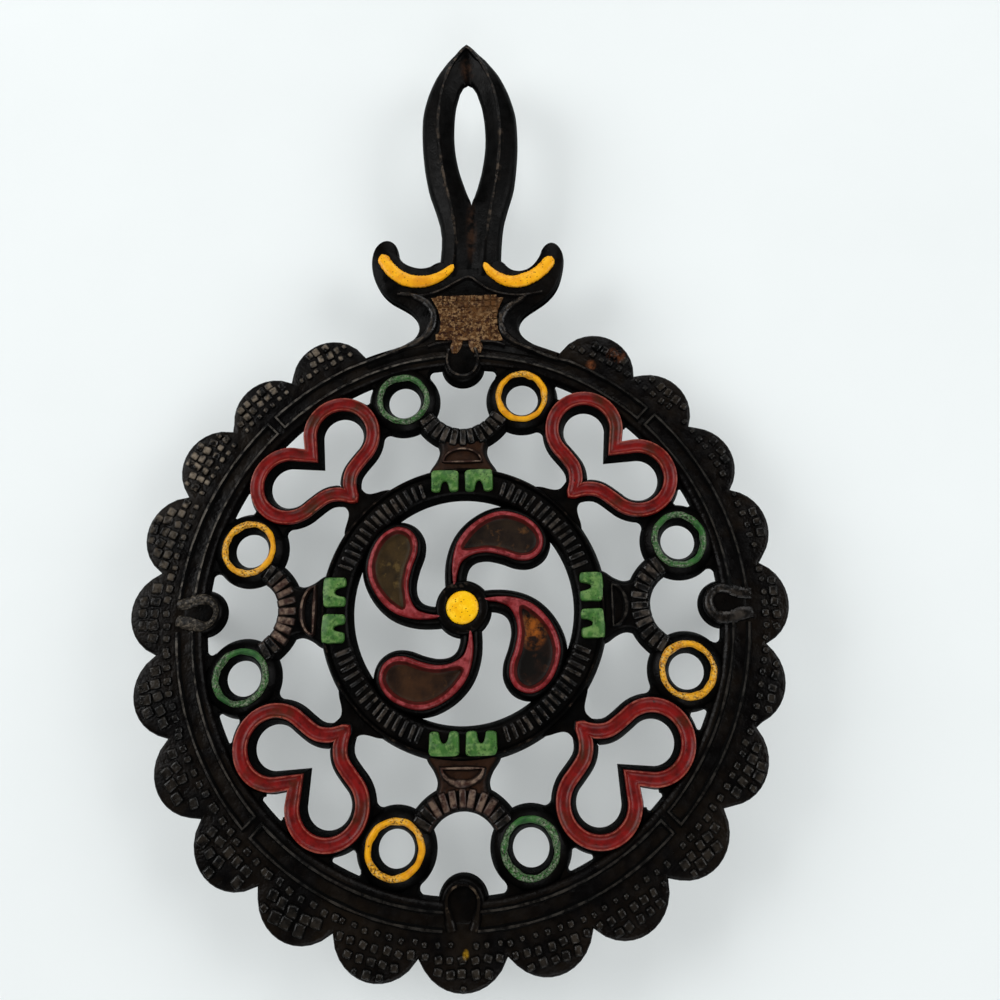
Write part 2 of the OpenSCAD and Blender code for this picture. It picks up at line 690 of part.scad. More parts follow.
// The tips of the two scrolls, beside the stem
module scrolls() {
    difference() {
        slab(foot_h, web_t + relief_h) polygon(handle_line);
        translate([handle_x - handle_w / 2, 0, foot_h - overrun])
            cube([handle_w, handle_tip_y, web_t + relief_h + 2 * overrun]);
    }
}
module collar_paint() color(yellow) {
    pair_of_lines(crescent_line, crescent_w - paint_t, top_z - groove_d, groove_d / 2);
}
module stem() color(iron) {
    clip_to(collar_end_y, stem_end_y) {
        intersection() {
            slab(foot_h, web_t) polygon(handle_line);
            translate([handle_x - handle_w / 2, 0, foot_h - overrun])
                cube([handle_w, handle_tip_y, web_t + 2 * overrun]);
        }
    }
    clip_to(collar_end_y, stem_end_y)
        pair_of_lines(ridge_half, ridge_w, web_z - root_d, relief_h + root_d);
}
module handle_loop() color(iron) {
    difference() {
        union() {
            handle_part(stem_end_y, handle_tip_y + overrun, foot_h, web_t);
            clip_to(stem_end_y, handle_tip_y)
                pair_of_lines(ridge_half, ridge_w, web_z - root_d, relief_h + root_d);
        }
        slab(foot_h - overrun, web_t + relief_h + 2 * overrun) polygon(hole_line);
    }
}

scalloped_rim();
wheel_ring();
hub_boss();
hub_button();
green_blocks();
petal(axes[0]);  // petal_rear_right
petal(axes[3]);  // petal_front_right
petal(axes[2]);  // petal_front_left
petal(axes[1]);  // petal_rear_left
petal_paint(axes[0]);  // petal_paint_rear_right
petal_paint(axes[3]);  // petal_paint_front_right
petal_paint(axes[2]);  // petal_paint_front_left
petal_paint(axes[1]);  // petal_paint_rear_left
heart(diagonals[0]);  // heart_rear_right
heart(diagonals[1]);  // heart_rear_left
heart(diagonals[2]);  // heart_front_left
heart(diagonals[3]);  // heart_front_right
heart_paint(diagonals[0]);  // heart_paint_rear_right
heart_paint(diagonals[1]);  // heart_paint_rear_left
heart_paint(diagonals[2]);  // heart_paint_front_left
heart_paint(diagonals[3]);  // heart_paint_front_right
eyelet(axes[0] + eyelet_angle);  // eyelet_right_upper
eyelet(axes[1] - eyelet_angle);  // eyelet_rear_right
eyelet(axes[1] + eyelet_angle);  // eyelet_rear_left
eyelet(axes[2] - eyelet_angle);  // eyelet_left_upper
eyelet(axes[2] + eyelet_angle);  // eyelet_left_lower
eyelet(axes[3] - eyelet_angle);  // eyelet_front_left
eyelet(axes[3] + eyelet_angle);  // eyelet_front_right
eyelet(axes[0] - eyelet_angle);  // eyelet_right_lower
green_ring_paint();
yellow_ring_paint();
arch(axes[0]);  // arch_right
arch(axes[1]);  // arch_rear
arch(axes[2]);  // arch_left
arch(axes[3]);  // arch_front
keystone(axes[0]);  // keystone_right
keystone(axes[1]);  // keystone_rear
keystone(axes[2]);  // keystone_left
keystone(axes[3]);  // keystone_front
lug(0);  // lug_right
lug(1);  // lug_rear
lug(2);  // lug_left
lug(3);  // lug_front
foot(axes[0]);  // foot_right
foot(axes[1]);  // foot_rear
foot(axes[2]);  // foot_left
foot(axes[3]);  // foot_front
neck();
neck_panel();
collar();
collar_paint();
stem();
handle_loop();
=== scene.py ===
import random
from math import asin, atan2, cos, degrees, pi, radians, sin, sqrt

import bmesh
import bpy
from mathutils import Matrix, Vector


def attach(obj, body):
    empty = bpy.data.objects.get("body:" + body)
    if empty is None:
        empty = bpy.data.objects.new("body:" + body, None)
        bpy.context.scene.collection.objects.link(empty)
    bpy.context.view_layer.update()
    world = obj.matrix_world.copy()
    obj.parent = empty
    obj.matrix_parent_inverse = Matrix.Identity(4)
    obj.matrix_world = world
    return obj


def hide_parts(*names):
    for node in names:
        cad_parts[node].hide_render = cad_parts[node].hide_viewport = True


# A sand-cast iron trivet in worn paint: hearts, eyelets, a wheel with comma petals,
# a scalloped rim with a waffle pattern, and a flat handle with a hanging loop.

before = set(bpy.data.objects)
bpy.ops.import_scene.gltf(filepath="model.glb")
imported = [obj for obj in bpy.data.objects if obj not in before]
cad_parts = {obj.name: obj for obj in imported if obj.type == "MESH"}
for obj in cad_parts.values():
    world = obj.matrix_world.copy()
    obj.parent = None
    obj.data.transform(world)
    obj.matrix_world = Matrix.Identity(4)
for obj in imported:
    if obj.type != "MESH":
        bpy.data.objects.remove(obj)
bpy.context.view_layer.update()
rng = random.Random(11)
MM = 0.001

# Heights in the casting, in millimetres above the surface that it stands on
UNDER, FACE, TOP = 14.8, 18.2, 19.0

AXES = {"right": 0, "rear": 90, "left": 180, "front": 270}
DIAGONALS = {"rear_right": 45, "rear_left": 135, "front_left": 225, "front_right": 315}


def jitter(span):
    """A random number, at most half the span from 0."""
    return (rng.random() - 0.5) * span


def up_from(base, span):
    return base + rng.random() * span


# ---- materials

def colour(hex_text):
    """An sRGB hex colour as linear red, green, blue and alpha."""
    out = []
    for i in (0, 2, 4):
        c = int(hex_text[i:i + 2], 16) / 255
        out.append(c / 12.92 if c <= 0.04045 else ((c + 0.055) / 1.055) ** 2.4)
    return (*out, 1.0)


def add(tree, kind, settings=(), **links):
    """One shader node with its settings, and its links: named by input, or in0, in1, in2."""
    node = tree.nodes.new("ShaderNode" + kind)
    for key, value in dict(settings).items():
        if isinstance(key, int) or key in node.inputs:
            node.inputs[key].default_value = value
        else:
            setattr(node, key, value)
    for key, socket in links.items():
        tree.links.new(socket, node.inputs[int(key[2:]) if key[2:].isdigit() else key])
    return node


def span(tree, value, low, high, a=0.0, b=1.0):
    """a where the value is at most low, b where it is at least high, and a slope between."""
    return add(tree, "MapRange", {1: low, 2: high, 3: a, 4: b}, Value=value).outputs["Result"]


class Finish:
    """A material in the making: its nodes, its shader and the place in the object's frame."""

    def __init__(self, name):
        self.mat = bpy.data.materials.new(name)
        self.mat.use_nodes = True
        self.tree = self.mat.node_tree
        self.shader = self.tree.nodes["Principled BSDF"]
        self.place = self.add("TexCoord").outputs["Object"]

    def add(self, kind, settings=(), **links):
        return add(self.tree, kind, settings, **links)

    def span(self, *args):
        return span(self.tree, *args)

    def noise(self, size, detail, rough=0.5, **more):
        """Noise with features about this many millimetres wide."""
        return self.add("TexNoise", {**more, "Scale": 1.0 / (size * MM), "Detail": detail,
                                     "Roughness": rough}, Vector=self.place).outputs["Fac"]

    def patches(self, size, low, high, seed, detail=4.0):
        """Soft-edged patches of about one size: 0 outside, 1 inside."""
        ramp = self.add("ValToRGB", Fac=self.noise(size, detail, 0.62, noise_dimensions="4D",
                                                   W=seed))
        for stop, at, level in zip(ramp.color_ramp.elements, (low, high), (0, 1)):
            stop.position, stop.color = at, (level, level, level, 1)
        return ramp.outputs["Color"]

    def times(self, first, *others):
        for other in others:
            first = self.add("Math", {"operation": "MULTIPLY"}, in0=first, in1=other).outputs[0]
        return first

    def mix(self, factor, a, b):
        """Colour a where factor is 0 and b where it is 1; each is a hex text or a socket."""
        node = self.add("Mix", {"data_type": "RGBA"}, in0=factor)
        for value, slot in ((a, node.inputs[6]), (b, node.inputs[7])):
            if isinstance(value, str):
                slot.default_value = colour(value)
            else:
                self.tree.links.new(value, slot)
        return node.outputs[2]

    def grain(self, size, strength, depth, coarse, coarse_strength):
        """Sand grain of one size over a gentler unevenness, as bump. The unevenness is given
        back, for a finish that follows it."""
        broad = self.noise(coarse, 2.0)
        first = self.add("Bump", {"Strength": coarse_strength, "Distance": depth * 2.5 * MM},
                         Height=broad)
        second = self.add("Bump", {"Strength": strength, "Distance": depth * MM},
                          Height=self.noise(size, 3.0, 0.6), Normal=first.outputs["Normal"])
        self.tree.links.new(second.outputs["Normal"], self.shader.inputs["Normal"])
        return broad

    def above(self, low, high):
        """0 below the first height in millimetres and 1 above the second."""
        split = self.add("SeparateXYZ", Vector=self.place)
        return self.span(split.outputs["Z"], low * MM, high * MM)

    def facing_up(self, low, high):
        """0 on steep walls and 1 on faces that look up."""
        normal = self.add("NewGeometry").outputs["Normal"]
        return self.span(self.add("SeparateXYZ", Vector=normal).outputs["Z"], low, high)

    def spot(self, at, radii):
        """A soft oval region, 1 inside: its centre and half sizes are in millimetres."""
        vector = self.place
        for job, numbers in (("SUBTRACT", at), ("DIVIDE", radii)):
            vector = self.add("VectorMath", {"operation": job, 1: [n * MM for n in numbers]},
                              in0=vector).outputs[0]
        away = self.add("VectorMath", {"operation": "LENGTH"}, in0=vector).outputs["Value"]
        return self.span(away, 0.4, 1.0, 1.0, 0.0)

    def over(self, tint, *masks):
        """Lays a colour over what is there, where all the masks let it."""
        self.tint = self.mix(self.times(*masks), self.tint, tint)

    def blots(self, spots, size, low, seed):
        """Blots of rust or paint: each spot has a place, half sizes and a colour."""
        for at, radii, blot in spots:
            self.over(blot, self.patches(size, low, low + 0.2, seed), self.spot(at, radii))

    def done(self, rough, spec):
        """The finished material; its roughness and its specular level are numbers or sockets."""
        for value, name in ((self.tint, "Base Color"), (rough, "Roughness"),
                            (spec, "Specular IOR Level")):
            slot = self.shader.inputs[name]
            if isinstance(value, float):
                slot.default_value = value
            else:
                self.tree.links.new(value, slot)
        return self.mat


def iron_finish(name, tints, worn_amount, rough, spec, lumpy=0.4, brown_low=0.5, patch=9.0,
                rust_at=(), wear_and_sheen_at=None, wear_and_sheen_rest=0.3, wear_size=1.6,
                worn_above=(FACE + 0.35, TOP - 0.05)):
    """Sand-cast iron under old black paint: satin black, brown where the paint is thin,
    and bare grey-brown metal on what stands proud. The grain is drawn a little coarse."""
    f = Finish("sand_cast_iron_" + name)
    f.tint, brown, worn = tints.split()
    broad = f.grain(0.55, 0.5, 0.10, 2.2, lumpy)
    flat = f.facing_up(0.55, 0.97)
    f.over(brown, f.patches(patch, brown_low - 0.08, brown_low + 0.16, 1.3), flat)
    rubbed = f.patches(wear_size, 0.62 - worn_amount * 0.3, 0.72 - worn_amount * 0.2, 4.1)
    region = f.span(f.noise(22, 1.0), 0.35, 0.6, 0.45, 1.0)
    # a soft spot can weight that region: on the pads and bead lines it is where they are rubbed
    # most, on the ribs it is partly painted highlight
    if wear_and_sheen_at:
        region = f.times(region, f.span(f.spot(*wear_and_sheen_at), 0.0, 1.0, wear_and_sheen_rest, 1.0))
    f.over(worn, rubbed, region, f.above(*worn_above), flat)
    f.blots(rust_at, 1.8, 0.42, 8.0)
    # painted shade: the specular level falls to nothing on steep walls and is full on faces that
    # look up, so the walls stay dark instead of mirroring the lit floor
    shine = f.add("Math", {"operation": "MULTIPLY", 1: spec}, in0=f.facing_up(0.1, 0.75))
    return f.done(f.span(broad, 0.35, 0.65, *rough), shine.outputs[0])


def paint_finish(name, tints, wear, size, rough, coat_spec, specks=0.0, speck_tint=None,
                 stain=None):
    """Old brushed gloss paint on rough iron: the base colour with deeper blotches, rubbed
    pale on its high lines, chipped to bare iron in places, and pricked by casting pits."""
    f = Finish(name)
    f.tint, deep, rubbed, bare = tints.split()
    f.grain(0.7, 0.35, 0.08, 2.8, 0.45)
    f.over(deep, f.patches(size, 0.42, 0.66, 2.2))
    if stain:
        f.over(stain, f.patches(7.0, 0.5, 0.66, 15.0))
    f.over(rubbed, f.patches(1.3, 0.60 - wear * 0.35, 0.72 - wear * 0.3, 6.0),
           f.above(TOP - 0.35, TOP - 0.02))
    f.over(bare, f.patches(0.9, 0.70 - wear * 0.08, 0.73 - wear * 0.08, 9.0))
    if specks:
        pits = f.add("TexVoronoi", {"Scale": 1.0 / (0.8 * MM), "Randomness": 1.0}, Vector=f.place)
        f.over(speck_tint, f.span(pits.outputs["Distance"], 0.10, 0.22, 1.0, 0.0),
               f.patches(3.2, 0.62 - specks * 0.2, 0.64 - specks * 0.2, 12.0))
    return f.done(rough, coat_spec)


def flecked_finish(name, tints, worn_low, seed, fleck=0.4, spec=0.25):
    """A coat or a skin that is whole in places, and elsewhere worn to a fine mix of pale
    flecks and dark pits, as rough iron shows when a cloth has rubbed it."""
    f = Finish(name)
    f.tint, deep, pale, dark = tints.split()
    f.grain(0.6, 0.5, 0.09, 1.8, 0.6)
    f.over(deep, f.patches(1.8, 0.42, 0.64, seed))
    worn = f.patches(7.0, worn_low, worn_low + 0.1, seed + 1, 1.5)
    f.over(pale, f.patches(fleck, 0.46, 0.6, seed + 2, 2.0), worn)
    f.over(dark, f.patches(fleck, 0.50, 0.6, seed + 3, 2.0), worn)
    f.over(dark, f.patches(0.7, 0.66, 0.7, seed + 4, 2.0))
    return f.done(0.4, spec)


def floor_finish(name, tints, low, high, seed, rust_at=()):
    """A petal's floor: bare iron stained brown, with rust and old paint in the hollow."""
    f = Finish("stained_iron_" + name)
    f.tint, mid, light = tints.split()
    f.grain(0.8, 0.4, 0.1, 3.0, 0.6)
    f.over(mid, f.patches(4.5, low, high, seed))
    f.over(light, f.patches(2.2, 0.58, 0.7, seed + 3))
    f.blots(rust_at, 1.5, 0.4, seed + 5)
    return f.done(0.5, 0.12)


# Two spots of rust on a scallop beside the handle, and a drop of yellow paint on the front one
SPOTS = (((36.3, 57.6, 18.2), (2.5, 2.3, 3.0), "64381f"),
         ((30.3, 55.4, 18.2), (1.4, 1.5, 3.0), "64381f"),
         ((0.6, -67.0, 18.2), (0.75, 1.1, 3.0), "a67e1a"))
# Black paint on cast iron: deep satin black on walls, dark brown on flats
CAST_BLACK = iron_finish("black_paint", "030303 0b0806 352c25", 0.2, (0.26, 0.42), 0.05)
# The same on the rim, browner, where hands and pots have rubbed it
CAST_RIM = iron_finish("rim", "050404 15100b 4a3f33", 0.35, (0.24, 0.42), 0.085, 1.0,
                       rust_at=SPOTS)
# The short ribs round the wheel and on the arches: grey tops, partly rubbed iron and partly painted
# highlight, strongest over the wheel's rear right and weakest on the arches
CAST_RIBS = iron_finish("ribs", "050505 120e0a 4a423a", 0.5, (0.22, 0.38), 0.24, 1.1,
                        # on the ribs this spot is partly painted highlight: it makes their grey
                        # tops paler where they would shine
                        wear_and_sheen_at=((6, 8, 18), (58, 58, 40)), wear_and_sheen_rest=0.5, wear_size=2.2,
                        worn_above=(18.35, 18.65))
# Raised lines: paint gone from their tops, which show grey-brown iron
CAST_WORN = iron_finish("worn_tops", "070606 16110d 5a4f43", 0.55, (0.24, 0.42), 0.28, 1.0)
# The scallops' pads: pale bare tops on the rear left, black with small glints elsewhere
CAST_PADS = iron_finish("waffle_pads", "050505 120e0a 73685a", 0.7, (0.2, 0.36), 0.16, 1.1,
                        rust_at=SPOTS, wear_and_sheen_at=((-54, 50, 18), (52, 54, 40)), wear_and_sheen_rest=0.12,
                        wear_size=2.6, worn_above=(18.3, 18.6))
# The handle's two ridges, dark and only a little rubbed
CAST_GRIP = iron_finish("handle_ridges", "050505 110d0a 463c32", 0.45, (0.26, 0.42), 0.14, 0.9)
# The rim's bead lines and the right half-moon, rubbed grey towards the left
CAST_RIDGE = iron_finish("rubbed_ridges", "060606 14100d 57524b", 0.7, (0.24, 0.42), 0.2, 0.9,
                         wear_and_sheen_at=((-34, 22, 18), (78, 74, 40)), wear_and_sheen_rest=0.25,
                         worn_above=(18.4, 18.75))
# The handle: the same black, with rust above the hanging hole and down the stem's groove
CAST_HANDLE = iron_finish("handle", "030303 0a0807 352c25", 0.2, (0.28, 0.44), 0.05, 0.3,
                          rust_at=(((1.3, 139.0, 17.6), (2.6, 3.4, 3.0), "2c1d14"),
                                   ((2.2, 91.5, 17.0), (1.7, 9.5, 3.0), "2c1d14")))
# Rosy brown wear on the half-moons and on some ribs, where red paint has rubbed off
CAST_ROSY = iron_finish("rosy_wear", "120b08 33201a 776455", 0.55, (0.3, 0.5), 0.2, 1.0, 0.38,
                        3.0, worn_above=(18.3, 18.65))
# The front and rear keystones, rubbed to dark brown
CAST_KEY = iron_finish("brown_keystone", "080605 2a190f 4a3a2c", 0.4, (0.34, 0.5), 0.08, 0.8,
                       0.36, 3.0)
# Brick red gloss paint in the hearts' channels
RED = paint_finish("brick_red_gloss_paint", "74110f 4e0a09 862a18 1a0c08", 0.45, 2.2, 0.34, 0.2,
                   stain="3c1c0d")
# The hearts' lines, where the red is rubbed to a dusty pink
RUBBED_RED = paint_finish("brick_red_paint_rubbed_lines", "741d16 54110d 94493c 2a110c", 0.55,
                          2.2, 0.38, 0.2, stain="4a2814")
# Dark red inside the petals' dishes
DISH_RED = paint_finish("dark_red_gloss_paint", "4c1411 290b08 5e1e1a 1a0c09", 0.4, 2.6, 0.36,
                        0.3)
# The same red, rubbed to rose, on the petals' lips
ROSE = paint_finish("rose_red_gloss_paint", "761a1d 4a0f10 8c393c 2a110c", 0.45, 3.2, 0.38, 0.25,
                    stain="5e1614")
# Signal yellow gloss paint with casting pits
YELLOW = paint_finish("yellow_gloss_paint", "f3be0a e9a406 fccb2c 9a6c10", 0.2, 4.0, 0.36, 0.2,
                      1.3, "5e3f10")
# The neck's panel, rubbed flat to warm brown iron, flecked pale and dark
CAST_BARE = flecked_finish("sand_cast_iron_rubbed_brown", "50341a 35200e 7c6142 28130a", 0.32,
                           11.0, 0.75, 0.1)
# The horseshoe on the left lug, rubbed rough and grey
CAST_LUG = flecked_finish("sand_cast_iron_rubbed_grey", "1f1b16 12100d 50493f 0d0b09", 0.2, 17.0,
                          0.6)
# Yellow gloss paint on four eyelets, rubbed by cloths and pots
YELLOW_RING = flecked_finish("yellow_gloss_ring_paint", "dc9c08 c27d06 c8a55c 56360c", 0.44, 3.0)
# Green gloss paint on four eyelets, much of it worn to grey
GREEN_RING = flecked_finish("green_gloss_ring_paint", "2f6029 1e4120 747c68 18200f", 0.36, 7.0)
# The crescents' yellow, a shade deeper
AMBER = paint_finish("amber_gloss_paint", "eeab10 e0940a f8bc28 8a5c10", 0.3, 2.0, 0.36, 0.25,
                     1.2, "4e300c", stain="d48a0c")
# Leaf green gloss paint on the blocks
GREEN = paint_finish("leaf_green_gloss_paint", "386428 25481e 5f8044 182a12", 0.4, 1.5, 0.42,
                     0.25, 0.9, "14200d")
# Stained iron in the petals' dishes: grey-brown, near black with rust, red-brown, ochre
PETAL_FLOOR = {
    "rear_right": floor_finish("grey_brown", "170f0a 261b11 4d3219", 0.4, 0.6, 1),
    "front_right": floor_finish("rust_black", "0a0705 20110a 3a2010", 0.45, 0.7, 5,
                                [((15.2, -4.9, 17.6), (3.6, 4.6, 3.0), "8a4a14")]),
    "front_left": floor_finish("red_brown", "1c0f07 341f0f 402810", 0.35, 0.6, 9),
    "rear_left": floor_finish("ochre", "1d1509 372913 4d3d1f", 0.35, 0.6, 13),
}


# ---- lines

def polar(r, a):
    return Vector((r * cos(radians(a)), r * sin(radians(a))))


def turned(points, a):
    """Points (x, y) or (x, y, z) turned about the wheel's centre."""
    c, s = cos(radians(a)), sin(radians(a))
    return [Vector((p[0] * c - p[1] * s, p[0] * s + p[1] * c, *p[2:])) for p in points]


def mirrored(points):
    """The points on the other side of the x axis, in the opposite order."""
    return [Vector((p[0], -p[1])) for p in reversed(points)]


def blend(a, b, c, d, t):
    """The curve through b and c, a share t of the way."""
    return (2 * b + (c - a) * t + (2 * a - 5 * b + 4 * c - d) * t * t
            + (3 * b - 3 * c + d - a) * t ** 3) / 2


def smooth(points, steps, closed=False):
    """A smooth line through points, open or closed."""
    p = [Vector(q) for q in points]
    k = len(p)
    out = []
    for i in range(k if closed else k - 1):
        at = [p[(i + j) % k] if closed else p[min(max(i + j, 0), k - 1)] for j in (-1, 0, 1, 2)]
        out += [blend(*at, j / steps) for j in range(steps)]
    return out if closed else out + [p[-1]]


def sides(points, closed=False):
    """For each point, the unit vector to its right, lengthened at corners to keep the width."""
    k = len(points)
    out = []
    for i, p in enumerate(points):
        legs = []
        if closed or i:
            legs.append((p - points[i - 1]).normalized())
        if closed or i < k - 1:
            legs.append((points[(i + 1) % k] - p).normalized())
        way = (legs[0] + legs[-1]).normalized()
        out.append(Vector((way[1], -way[0])) / max(way.dot(legs[0]), 0.55))
    return out


def even(points, n):
    """The open line with n points at even distances."""
    run = [0.0]
    for a, b in zip(points, points[1:]):
        run.append(run[-1] + (b - a).length)
    out, j = [], 0
    for i in range(n):
        want = run[-1] * i / (n - 1)
        while j < len(points) - 2 and run[j + 1] < want:
            j += 1
        leg = max(run[j + 1] - run[j], 1e-9)
        out.append(points[j].lerp(points[j + 1], min(max((want - run[j]) / leg, 0), 1)))
    return out


def at_share(table, t):
    """The value in a table of (place, value) at a place, on a smooth curve."""
    i = next((i for i in range(len(table) - 1) if t <= table[i + 1][0]), len(table) - 2)
    (low, _), (high, _) = table[i:i + 2]
    at = [table[min(max(i + j, 0), len(table) - 1)][1] for j in (-1, 0, 1, 2)]
    return blend(*at, min(max((t - low) / (high - low), 0), 1))


# ---- shapes

def start_section(bm, points, ring):
    verts = [bm.verts.new(p) for p in points]
    pairs = zip(verts, verts[1:] + verts[:1]) if ring else zip(verts, verts[1:])
    return verts, [bm.edges.new(pair) for pair in pairs]


def loft(bm, sections, wrap=False, cap=True):
    """A skin drawn from section to section, each extruded from the one before. wrap joins the
    last section to the first, and cap closes both ends."""
    verts, edges = start_section(bm, [Vector(p) * MM for p in sections[0]], True)
    first = edges
    for points in sections[1:]:
        made = bmesh.ops.extrude_edge_only(bm, edges=edges)["geom"]
        new = {v for v in made if isinstance(v, bmesh.types.BMVert)}
        verts = [next(e.other_vert(v) for e in v.link_edges if e.other_vert(v) in new)
                 for v in verts]
        for v, p in zip(verts, points):
            v.co = Vector(p) * MM
        edges = [bm.edges.get(pair) for pair in zip(verts, verts[1:] + verts[:1])]
    if wrap:
        bmesh.ops.bridge_loops(bm, edges=first + edges)
    elif cap:
        for loop in (first, edges):
            made = bmesh.ops.contextual_create(bm, geom=loop)["faces"]
            bmesh.ops.triangulate(bm, faces=made, ngon_method="EAR_CLIP")


def plate(bm, line, levels, a=0, cap=True):
    """A loft over a closed outline's edge, turned about the wheel's centre. Each level is
    (offset outwards, height)."""
    way = sides(line, True)
    loft(bm, [turned([(*(p + w * d), z) for p, w in zip(line, way)], a) for d, z in levels],
         cap=cap)


def sweep(bm, path, shapes, wrap=False):
    """A loft along a path, with a cross-section of (offset to the right, height) at each point."""
    loft(bm, [[(*(p + w * s), z) for s, z in shape]
              for p, w, shape in zip(path, sides(path, wrap), shapes)], wrap=wrap)


def raised_line(bm, path, widths, low, tops, wrap=False):
    """A rounded raised line along a path, such as one drawn in the mould with a tool.
    widths and tops are one number or one per point."""
    path = [Vector(p) for p in path]
    widths, tops = (v if isinstance(v, list) else [v] * len(path) for v in (widths, tops))
    shapes = []
    for wide, top in zip(widths, tops):
        h, mid = wide / 2, low + (top - low) * 0.6
        shapes.append([(-h - 0.18, low), (-h + 0.02, mid), (-h * 0.45, top), (h * 0.45, top),
                       (h - 0.02, mid), (h + 0.18, low), (0, low - 0.3)])
    sweep(bm, path, shapes, wrap)


def close_holes(bm):
    bmesh.ops.holes_fill(bm, edges=[e for e in bm.edges if e.is_boundary], sides=0)


def lathe(bm, profile, centre=(0, 0), steps=64, turn=360, start=0):
    """A profile of (radius, height) spun about an upright axis."""
    at = Vector((*centre, 0))
    points = [(at + Vector((*polar(r, start), z))) * MM for r, z in profile]
    ring = profile[0] == profile[-1]
    verts, edges = start_section(bm, points[:-1] if ring else points, ring)
    bmesh.ops.spin(bm, geom=verts + edges, cent=at * MM, axis=(0, 0, 1),
                   angle=radians(turn), steps=steps, use_merge=turn == 360)
    if turn != 360:
        close_holes(bm)


def pad(bm, centre, size, low, high, angle, taper):
    """A small raised pad with drafted sides."""
    made = bmesh.ops.create_cube(bm, size=1.0)["verts"]
    for v in made:
        if v.co.z > 0:
            v.co.xy *= taper
    place = (Matrix.Translation(Vector((centre[0], centre[1], (low + high) / 2)) * MM)
             @ Matrix.Rotation(radians(angle), 4, "Z")
             @ Matrix.Diagonal((size[0] * MM, size[1] * MM, (high - low) * MM, 1)))
    bmesh.ops.transform(bm, matrix=place, verts=made)


# ---- pieces

def middle(face):
    return face.calc_center_median() / MM


def piece(name, bm, mats, replaces=(), slot=None, sharp=38, bevel=0.0, pick=None):
    """The bmesh as an object that rides with the casting. pick says which of several
    materials a face has."""
    bmesh.ops.remove_doubles(bm, verts=bm.verts, dist=0.004 * MM)
    bmesh.ops.recalc_face_normals(bm, faces=bm.faces)
    if bm.calc_volume(signed=True) < 0:
        bmesh.ops.reverse_faces(bm, faces=bm.faces)
    for face in bm.faces:
        face.smooth = True
        if pick:
            face.material_index = int(pick(face))
    mesh = bpy.data.meshes.new(name)
    bm.to_mesh(mesh)
    bm.free()
    mesh.set_sharp_from_angle(angle=radians(sharp))
    for mat in mats if isinstance(mats, list) else [mats]:
        mesh.materials.append(mat)
    obj = bpy.data.objects.new(name, mesh)
    bpy.context.scene.collection.objects.link(obj)
    if bevel:
        soft = obj.modifiers.new("worn_edges", "BEVEL")
        soft.width, soft.segments, soft.limit_method = bevel * MM, 2, "ANGLE"
        soft.angle_limit = radians(40)
    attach(obj, "root")
    if replaces:
        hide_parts(*replaces)


def member(bm, node, mat=CAST_BLACK, sharp=50, name=None):
    """A plain member of the casting, in the place of the CAD's node."""
    piece(name or node + "_cast", bm, mat, [node], "iron", sharp)


def relief(bm, name, mat=CAST_WORN, **more):
    """Raised work on the casting that replaces no node of its own."""
    piece(name, bm, mat, slot="worn_iron", **more)


def members_cut(bm, y, mat, sharp, *parts):
    """The bmesh cut across at a length along the handle. Each part is (node, whether it is
    the side near the disc, name)."""
    for node, near, name in parts:
        part = bm.copy()
        bmesh.ops.bisect_plane(part, geom=part.verts[:] + part.edges[:] + part.faces[:],
                               plane_co=(0, y * MM, 0), plane_no=(0, 1, 0),
                               clear_outer=near, clear_inner=not near)
        close_holes(part)
        member(part, node, mat, sharp, name)
    bm.free()


# ---- rim

SCALLOP_R, RIM_R, BEAD_IN_R, BEAD_OUT_R, PADS_IN_R = 9.4, 63.2, 59.0, 62.4, 65.5
RIM_CENTRE = Vector((-0.49, -0.56))
SCALLOP_PITCH = 15
# The casting is uneven: each scallop's tip has its own distance from the wheel's centre
SCALLOP_TIPS = (71.6, 72.4, 73.9, 74.2, 73.75, 73.7, 74.1, 74.95, 74.2, 74.4, 73.95, 73.4, 73.6,
                73.0, 72.0, 70.7, 70.95, 70.2, 70.1, 70.8, 71.3)
SCALLOPS = {a: polar(tip - SCALLOP_R, a)
            for a, tip in zip(range(120, 421, SCALLOP_PITCH), SCALLOP_TIPS)}


def rim_edge(a, out):
    """The scalloped edge's point in a direction, a distance outside its own line."""
    way, r = polar(1, a), SCALLOP_R + out
    far = (RIM_CENTRE + way * (RIM_R + out)).dot(way)
    for c in SCALLOPS.values():
        along = c.dot(way)
        off = (c - way * along).length
        if off < r and along > 0:
            far = max(far, along + sqrt(r * r - off * off))
    return way * far


def rim():
    steps = [120 - SCALLOP_PITCH / 2 + 1.25 * i for i in range(288)]
    levels = [([RIM_CENTRE + polar(r, a) for a in steps], z) for r, z in (
        (56.55, UNDER), (56.7, 16.2), (57.0, 17.2), (57.4, 17.85), (58.1, 18.12), (58.7, 18.15),
        (59.4, 17.95), (61.9, 17.95), (62.8, 18.12), (63.4, FACE - 0.1))]
    levels += [([rim_edge(a, out) for a in steps], z) for out, z in (
        (-0.8, FACE - 0.06), (-0.4, 18.04), (-0.1, 17.7), (0.0, 17.1), (0.0, 15.6),
        (-0.1, UNDER))]
    bm = bmesh.new()
    loft(bm, [[(*p, z) for p in line] for line, z in levels], wrap=True)
    member(bm, "scalloped_rim", CAST_RIM, name="scalloped_rim_casting")


